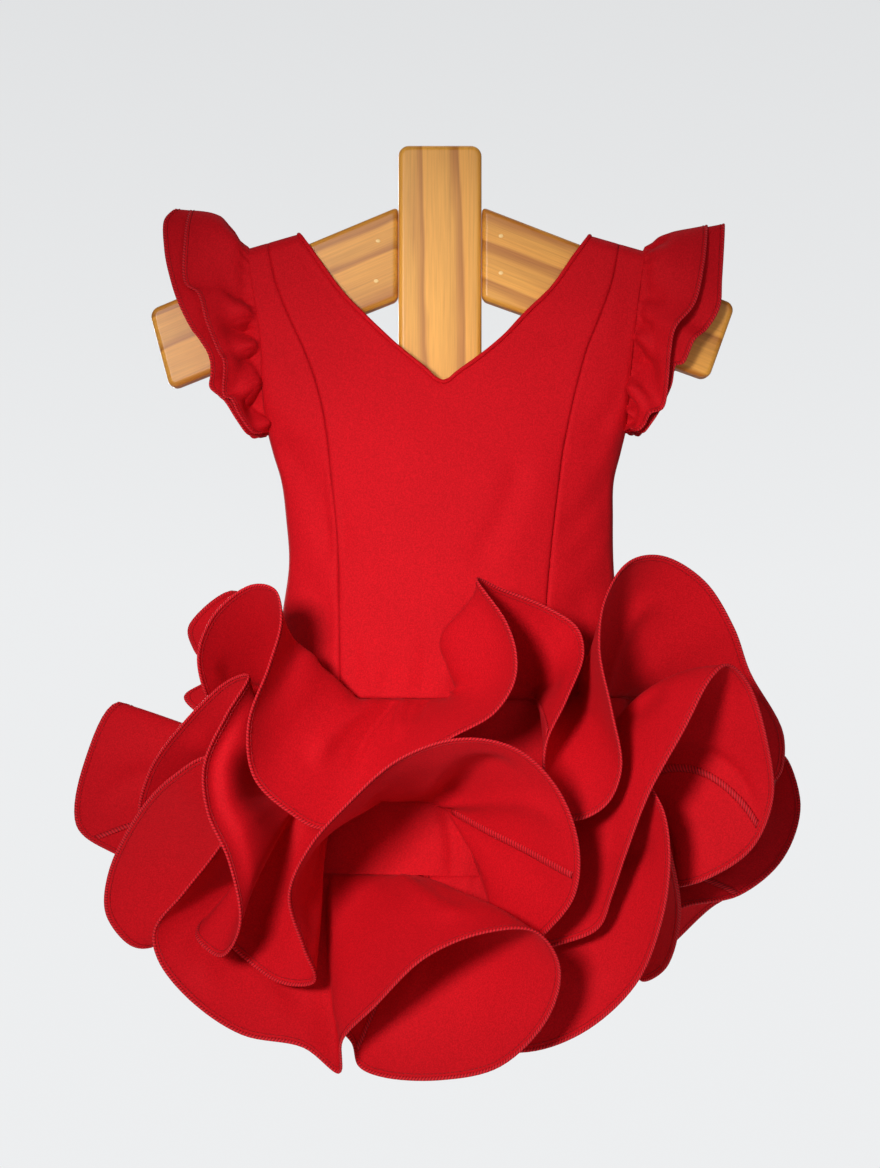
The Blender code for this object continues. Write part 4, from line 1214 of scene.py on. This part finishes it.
class DRESS_OT_hanger(bpy.types.Operator):
    """Boards of the hanger: the post and its two sloping arms, with their filled holes"""

    bl_idname = "dress.hanger"
    bl_label = "Hanger"

    def execute(self, context):
        post = {
            "inner top": (-POST_HALF_WIDTH, POST_TOP), "outer top": (POST_HALF_WIDTH, POST_TOP),
            "inner foot": (-POST_HALF_WIDTH, POST_FOOT),
            "outer foot": (POST_HALF_WIDTH, POST_FOOT),
        }
        boards = (
            ("hanger_post", post, 0.0, (0.013, 0, 0), 8.0),
            ("hanger_arm_right", ARM_RIGHT, 1.19, (0.3, 0.01, 0.2), 7.0),
            ("hanger_arm_left", ARM_LEFT, -1.17, (0.7, 0.02, 0.5), 7.0),
        )
        for name, corners, angle, shift, corner in boards:
            shape = bmesh.new()
            bmesh.ops.create_cube(shape, size=1.0)
            for vert in shape.verts:
                end = "outer" if vert.co.x > 0 else "inner"
                side = "top" if vert.co.z > 0 else "foot"
                x, z = corners[f"{end} {side}"]
                vert.co = (x * MM, (SEAM_Y + BOARD * vert.co.y) * MM, z * MM)
            bmesh.ops.recalc_face_normals(shape, faces=shape.faces)
            across = [
                e for e in shape.edges if abs(e.verts[0].co.y - e.verts[1].co.y) > BOARD * MM / 2
                and (name == "hanger_post" or abs(e.verts[0].co.x) > 2 * POST_HALF_WIDTH * MM)]
            bmesh.ops.bevel(
                shape, geom=across, offset=corner * MM, segments=8, profile=0.5,
                affect="EDGES")
            mesh = bpy.data.meshes.new(name + "_board")
            shape.to_mesh(mesh)
            shape.free()
            mesh.shade_smooth()
            look = finish(f"Pine {name}", pine_finish, angle, shift)
            board = add(name + "_board", mesh, look)
            rounding = board.modifiers.new("Rounded edges", "BEVEL")
            rounding.width = context.scene.hanger_wood.rounding
            rounding.segments = 6
            rounding.limit_method = "ANGLE"
            rounding.angle_limit = math.radians(30)
            rounding.harden_normals = True
            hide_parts(name)
        shape = bmesh.new()
        for x, z in FILLED_HOLES:
            middle = Vector((x, SEAM_Y - BOARD / 2, z)) * MM
            plug = bmesh.ops.create_uvsphere(
                shape, u_segments=20, v_segments=10, radius=FILLER * MM)
            for vert in plug["verts"]:
                vert.co = Vector((1.2, 0.3, 1.0)) * vert.co + middle
        mesh = bpy.data.meshes.new("hanger_filled_holes")
        shape.to_mesh(mesh)
        shape.free()
        mesh.shade_smooth()
        add("hanger_filled_holes", mesh, finish("Pale filler", filler_finish))
        return {"FINISHED"}


class DRESS_OT_bodice(bpy.types.Operator):
    """Front and back panels of the bodice, with their folds and seam grooves"""

    bl_idname = "dress.bodice"
    bl_label = "Bodice"

    def execute(self, context):
        def edge(column, shift=0.0):
            """A seam of the bodice's sections, moved across by shift."""
            return lambda z: section(column, z) + shift

        def centre(shift):
            """The centre back seam, moved across by shift."""
            return lambda z: np.full(np.shape(z), CENTRE_BACK + shift)

        top_z = BODICE[-1].z
        left, right = section("left", top_z), section("right", top_z)
        seam_left, seam_right = section("princess_left", top_z), section("princess_right", top_z)
        front = panel_edge(FRONT_NECK, NECK_STEPS)
        back = panel_edge(BACK_NECK, NECK_STEPS)
        neck_left, neck_right = front[0, 0], front[-1, 0]
        half = 0.1
        v_point = np.argmin(back[:, 1])
        front_top = np.vstack((
            shoulder_edge(seam_left + half, neck_left, 8), front[1:-1],
            shoulder_edge(neck_right, seam_right - half, 8)))
        back_left_top = np.vstack((
            shoulder_edge(left, neck_left, 12), back[1:v_point],
            (CENTRE_BACK - half, back[v_point, 1])))
        back_right_top = np.vstack((
            (CENTRE_BACK + half, back[v_point, 1]), back[v_point + 1:-1],
            shoulder_edge(neck_right, right, 12)))
        side_left_top = shoulder_edge(left, seam_left - half, 28)
        side_right_top = shoulder_edge(seam_right + half, right, 28)
        pieces = {
            "front_centre": (panel(
                edge("princess_left", half), edge("princess_right", -half), front_top, -1,
                FRONT_ROWS, (True, True)), (0.22, 0.35), 0.055),
            "front_side_left": (panel(
                edge("left"), edge("princess_left", -half), side_left_top, -1, FRONT_ROWS,
                (False, True)), (0.065, 0.34), 0.017),
            "front_side_right": (panel(
                edge("princess_right", half), edge("right"), side_right_top, -1, FRONT_ROWS,
                (True, False)), (0.07, 0.34), 0.019),
            "back_left": (panel(
                edge("left"), centre(-half), back_left_top, 1, BACK_ROWS, (False, True)),
                (0.17, 0.35), 0.042),
            "back_right": (panel(
                centre(half), edge("right"), back_right_top, 1, BACK_ROWS, (True, False)),
                (0.17, 0.35), 0.044),
        }
        wall = context.scene.dress_cloth.wall
        for name, (grid, flat, area) in pieces.items():
            mesh = sheet_mesh(name + "_cloth", grid, False)
            piece = thicken(add(name + "_cloth", mesh, crepe()), wall)
            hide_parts(name)
        return {"FINISHED"}


class DRESS_OT_neck_binding(bpy.types.Operator):
    """Round binding of the neckline"""

    bl_idname = "dress.neck_binding"
    bl_label = "Neck Binding"

    def execute(self, context):
        halves = []
        for rows, side in ((FRONT_NECK, -1), (BACK_NECK, 1)):
            x, z = neck_line(rows, BINDING_STEPS).T
            halves.append(np.column_stack((x, bodice_y(x, z, side), z)))
        path = np.vstack((halves[0], halves[1][-2:0:-1]))
        around = np.roll(path, -1, axis=0) - np.roll(path, 1, axis=0)
        around /= np.linalg.norm(around, axis=1, keepdims=True)
        aside = np.cross(around, (0, 1, 0))
        aside /= np.linalg.norm(aside, axis=1, keepdims=True)
        over = np.cross(around, aside)
        turn = np.linspace(0, 2 * math.pi, 13)
        run = np.cumsum(np.linalg.norm(around, axis=1))
        girth = 1.6 + 0.08 * np.sin(run * 0.37) + 0.05 * np.sin(run * 0.91 + 1)
        tube = path[:, None] + girth[:, None, None] * (
            aside[:, None] * np.cos(turn)[None, :, None]
            + over[:, None] * np.sin(turn)[None, :, None])
        mesh = tube_mesh("neck_binding_roll", tube, True)
        look = finish("Red binding", crepe_finish)
        piece = add("neck_binding_roll", mesh, look)
        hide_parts("neck_binding")
        return {"FINISHED"}


class DRESS_OT_skirt(bpy.types.Operator):
    """Straight skirt under the flounces"""

    bl_idname = "dress.skirt"
    bl_label = "Skirt"

    def execute(self, context):
        wall = context.scene.dress_cloth.wall
        for name, turn in (("skirt_front", 0), ("skirt_back", 180)):
            share = np.linspace(-1, 1, SKIRT_COLUMNS)
            heights = np.linspace(HIP_Z - SKIRT_GAP, SKIRT_FOOT, SKIRT_ROWS)
            grid = np.stack([hip_ring(turn + 89.95 * share, z) for z in heights], axis=1)
            sewn = smooth((1 - abs(share)) / 0.08)[:, None, None]
            grid += (soft_waves(grid, False) - grid) * sewn
            folded = creased(grid[..., 0], grid[..., 2], SKIRT_CREASES)[..., None]
            grid -= normals(grid, False) * folded * sewn
            mesh = sheet_mesh(name + "_cloth", grid, False)
            piece = thicken(add(name + "_cloth", mesh, crepe()), wall)
            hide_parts(name)
        return {"FINISHED"}


class DRESS_OT_flounces(bpy.types.Operator):
    """The circular flounces, their overlocked edges, hem stitches and serged seams"""

    bl_idname = "dress.flounces"
    bl_label = "Flounces"

    def execute(self, context):
        cloth, trim = context.scene.dress_cloth, context.scene.dress_trim
        tiers = (
            ("flounce_top", TOP_SEAM, TOP_FOLDS, (2.66, 0.14), 0.19),
            ("flounce_middle", MIDDLE_SEAM, MIDDLE_FOLDS, (2.96, 0.175), 0.24),
            ("flounce_bottom", BOTTOM_SEAM, BOTTOM_FOLDS, (2.83, 0.155), 0.22),
        )
        for name, seam_z, folds, flat, area in tiers:
            grid = soft_waves(flounce(seam_z, folds, cloth.steps, FLOUNCE_ROWS), True)
            grid = bulged(grid, folds, cloth.steps, BULGES[name])
            grid = tucked(grid, folds, cloth.steps, TUCKS[name])
            mesh = sheet_mesh(name + "_cloth", grid, True)
            piece = thicken(add(name + "_cloth", mesh, crepe()), cloth.wall)
            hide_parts(name)
            edge = edge_mesh(name + "_edge", grid, True, trim.edge_width, trim.edge_height)
            trims = [add(name + "_edge", edge, thread())]
            out = normals(grid, True)
            lines = hem_lines(grid, True, *FLOUNCE_STITCHES)
            trims.append(stitches(name + "_hem_stitches", lines, thread()))
            for number, (fold, place) in enumerate(SERGED[name]):
                column = int(fold_place(folds, fold, place) * cloth.steps) % len(grid)
                beside = (column + 2) % len(grid)
                start = grid.shape[1] // 6
                run = grid[column, start:-1]
                aside = grid[beside, start:-1] - run
                aside /= np.linalg.norm(aside, axis=1, keepdims=True)
                lift = out[column, start:-1]
                side = -1 if lift[-1, 1] > 0 else 1
                strip = np.stack([
                    run + aside * across + lift * side * (SERGING_LIFT + rise)
                    for across, rise in SERGING], axis=1)
                label = f"{name}_seam_{number}"
                seam = add(label, sheet_mesh(label, strip, False), ladder())
                trims.append(thicken(seam, SERGING_WALL))
        return {"FINISHED"}


class DRESS_OT_sleeves(bpy.types.Operator):
    """The two gathered ruffles of each sleeve, with overlocked edges"""

    bl_idname = "dress.sleeves"
    bl_label = "Sleeve Ruffles"

    def execute(self, context):
        for name in SLEEVES:
            grid = ruffle(name, RUFFLE_COLUMNS, RUFFLE_ROWS)
            mesh = sheet_mesh(name + "_cloth", grid, False)
            piece = thicken(add(name + "_cloth", mesh, crepe()), RUFFLE_WALL)
            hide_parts(name)
            edge = edge_mesh(name + "_edge", grid, False, *RUFFLE_EDGE)
            trims = [add(name + "_edge", edge, thread())]
            lines = hem_lines(grid, False, *RUFFLE_STITCHES)
            trims.append(stitches(name + "_hem_stitches", lines, thread(), 0.0018, 0.0025))
        return {"FINISHED"}


class DRESS_OT_stage(bpy.types.Operator):
    """Camera, soft lights, pale floor and backdrop colour"""

    bl_idname = "dress.stage"
    bl_label = "Stage"

    def execute(self, context):
        scene, stage = context.scene, context.scene.dress_stage
        lens = bpy.data.cameras.new("Camera")
        lens.sensor_width = 36.0
        lens.lens = stage.lens
        lens.clip_end = 30.0
        camera = bpy.data.objects.new("Camera", lens)
        camera.location = (0, -stage.distance, stage.height)
        camera.rotation_euler = (math.pi / 2, 0, 0)
        scene.collection.objects.link(camera)
        scene.camera = camera
        world = bpy.data.worlds.new("Pale studio")
        world.use_nodes = True
        nodes, links = world.node_tree.nodes, world.node_tree.links
        way = nodes.new("ShaderNodeSeparateXYZ")
        links.new(nodes.new("ShaderNodeTexCoord").outputs["Generated"], way.inputs["Vector"])
        height = nodes.new("ShaderNodeMapRange")
        height.inputs["From Min"].default_value = -1.0
        links.new(way.outputs["Z"], height.inputs["Value"])
        paper = nodes.new("ShaderNodeValToRGB")
        links.new(height.outputs["Result"], paper.inputs["Fac"])
        shades = ((0.0, 0.55), (0.38, 1.06), (0.50, 1.05), (0.60, 0.96), (0.66, 0.90),
                  (0.78, 0.45), (1.0, 0.35))
        set_stops(paper.color_ramp, [(p, tone(stage.backdrop, share)) for p, share in shades])
        links.new(paper.outputs["Color"], nodes["Background"].inputs["Color"])
        seen = nodes.new("ShaderNodeMapRange")
        seen.inputs["To Min"].default_value = stage.wall_light
        links.new(nodes.new("ShaderNodeLightPath").outputs["Is Camera Ray"], seen.inputs["Value"])
        links.new(seen.outputs["Result"], nodes["Background"].inputs["Strength"])
        scene.world = world
        scene.view_settings.view_transform = "Standard"
        lamps = (
            ("Fill", (0.8, -1.7, 0.3), (0.0, 0.0, -0.35), 0.8, 0.10),
            ("Back", (-0.8, 2.0, 0.1), (0.0, 0.0, -0.35), 0.9, 0.90),
            ("Top", (0.2, 0.9, 1.5), (0.0, 0.0, -0.3), 1.0, 0.20),
        )
        for name, place, aim, size, share in lamps:
            light = bpy.data.lights.new(name, "AREA")
            light.shape = "DISK"
            light.size = size
            light.energy = share * stage.key_light
            self.hang(light, place, aim)
        spots = (
            ("Key", (-0.60, -1.90, 0.0), (0.02, 0.0, -0.405), 0.20, 28, 5.8),
            ("Boards", (-0.25, -1.95, 0.3), (0.0, 0.0, -0.05), 0.15, 11, 1.1),
        )
        for name, place, aim, size, angle, share in spots:
            light = bpy.data.lights.new(name, "SPOT")
            light.energy = share * stage.key_light
            light.shadow_soft_size = size
            light.spot_size = math.radians(angle)
            light.spot_blend = 1.0
            self.hang(light, place, aim)
        floor = bpy.data.meshes.new("Floor")
        disc = bmesh.new()
        bmesh.ops.create_circle(disc, cap_ends=True, segments=96, radius=1.1)
        for vert in disc.verts:
            vert.co.z = -1.05
        disc.to_mesh(floor)
        disc.free()
        pale = (0.80, 0.80, 0.80, 1.0)
        floor.materials.append(NodeKit("Pale floor").surface({
            "Base Color": pale, "Emission Color": pale, "Emission Strength": 0.5,
            "Roughness": 0.9}))
        ground = bpy.data.objects.new("Floor", floor)
        scene.collection.objects.link(ground)
        return {"FINISHED"}

    def hang(self, light, place, aim):
        """Puts a light in its place, turned to its aim."""
        lamp = bpy.data.objects.new(light.name, light)
        lamp.location = place
        lamp.rotation_euler = (Vector(aim) - Vector(place)).to_track_quat("-Z", "Y").to_euler()
        bpy.context.scene.collection.objects.link(lamp)


class VIEW3D_PT_dress(bpy.types.Panel):
    """Sizes, colours and steps of the dress"""

    bl_label = "Flamenco Dress"
    bl_space_type = "VIEW_3D"
    bl_region_type = "UI"
    bl_category = "Dress"

    def draw(self, context):
        layout, scene = self.layout, context.scene
        for group in (scene.dress_cloth, scene.dress_trim, scene.hanger_wood, scene.dress_stage):
            box = layout.box()
            for name in group.bl_rna.properties.keys():
                if name not in {"rna_type", "name"}:
                    box.prop(group, name)
        for operator in OPERATORS:
            layout.operator(operator.bl_idname)


GROUPS = {
    "dress_cloth": DressCloth,
    "dress_trim": DressTrim,
    "hanger_wood": HangerWood,
    "dress_stage": DressStage,
}
OPERATORS = (
    DRESS_OT_stage, DRESS_OT_hanger, DRESS_OT_bodice, DRESS_OT_neck_binding, DRESS_OT_skirt,
    DRESS_OT_flounces, DRESS_OT_sleeves,
)


def register():
    for kind in (*GROUPS.values(), *OPERATORS, VIEW3D_PT_dress):
        bpy.utils.register_class(kind)
    for name, kind in GROUPS.items():
        setattr(bpy.types.Scene, name, PointerProperty(type=kind))


def unregister():
    for name in GROUPS:
        delattr(bpy.types.Scene, name)
    for kind in (VIEW3D_PT_dress, *reversed(OPERATORS), *reversed(GROUPS.values())):
        bpy.utils.unregister_class(kind)


def main():
    register()
    bpy.ops.dress.stage()
    bpy.ops.dress.hanger()
    bpy.ops.dress.neck_binding()
    bpy.ops.dress.bodice()
    bpy.ops.dress.skirt()
    bpy.ops.dress.flounces()
    bpy.ops.dress.sleeves()


if __name__ == "__main__":
    main()
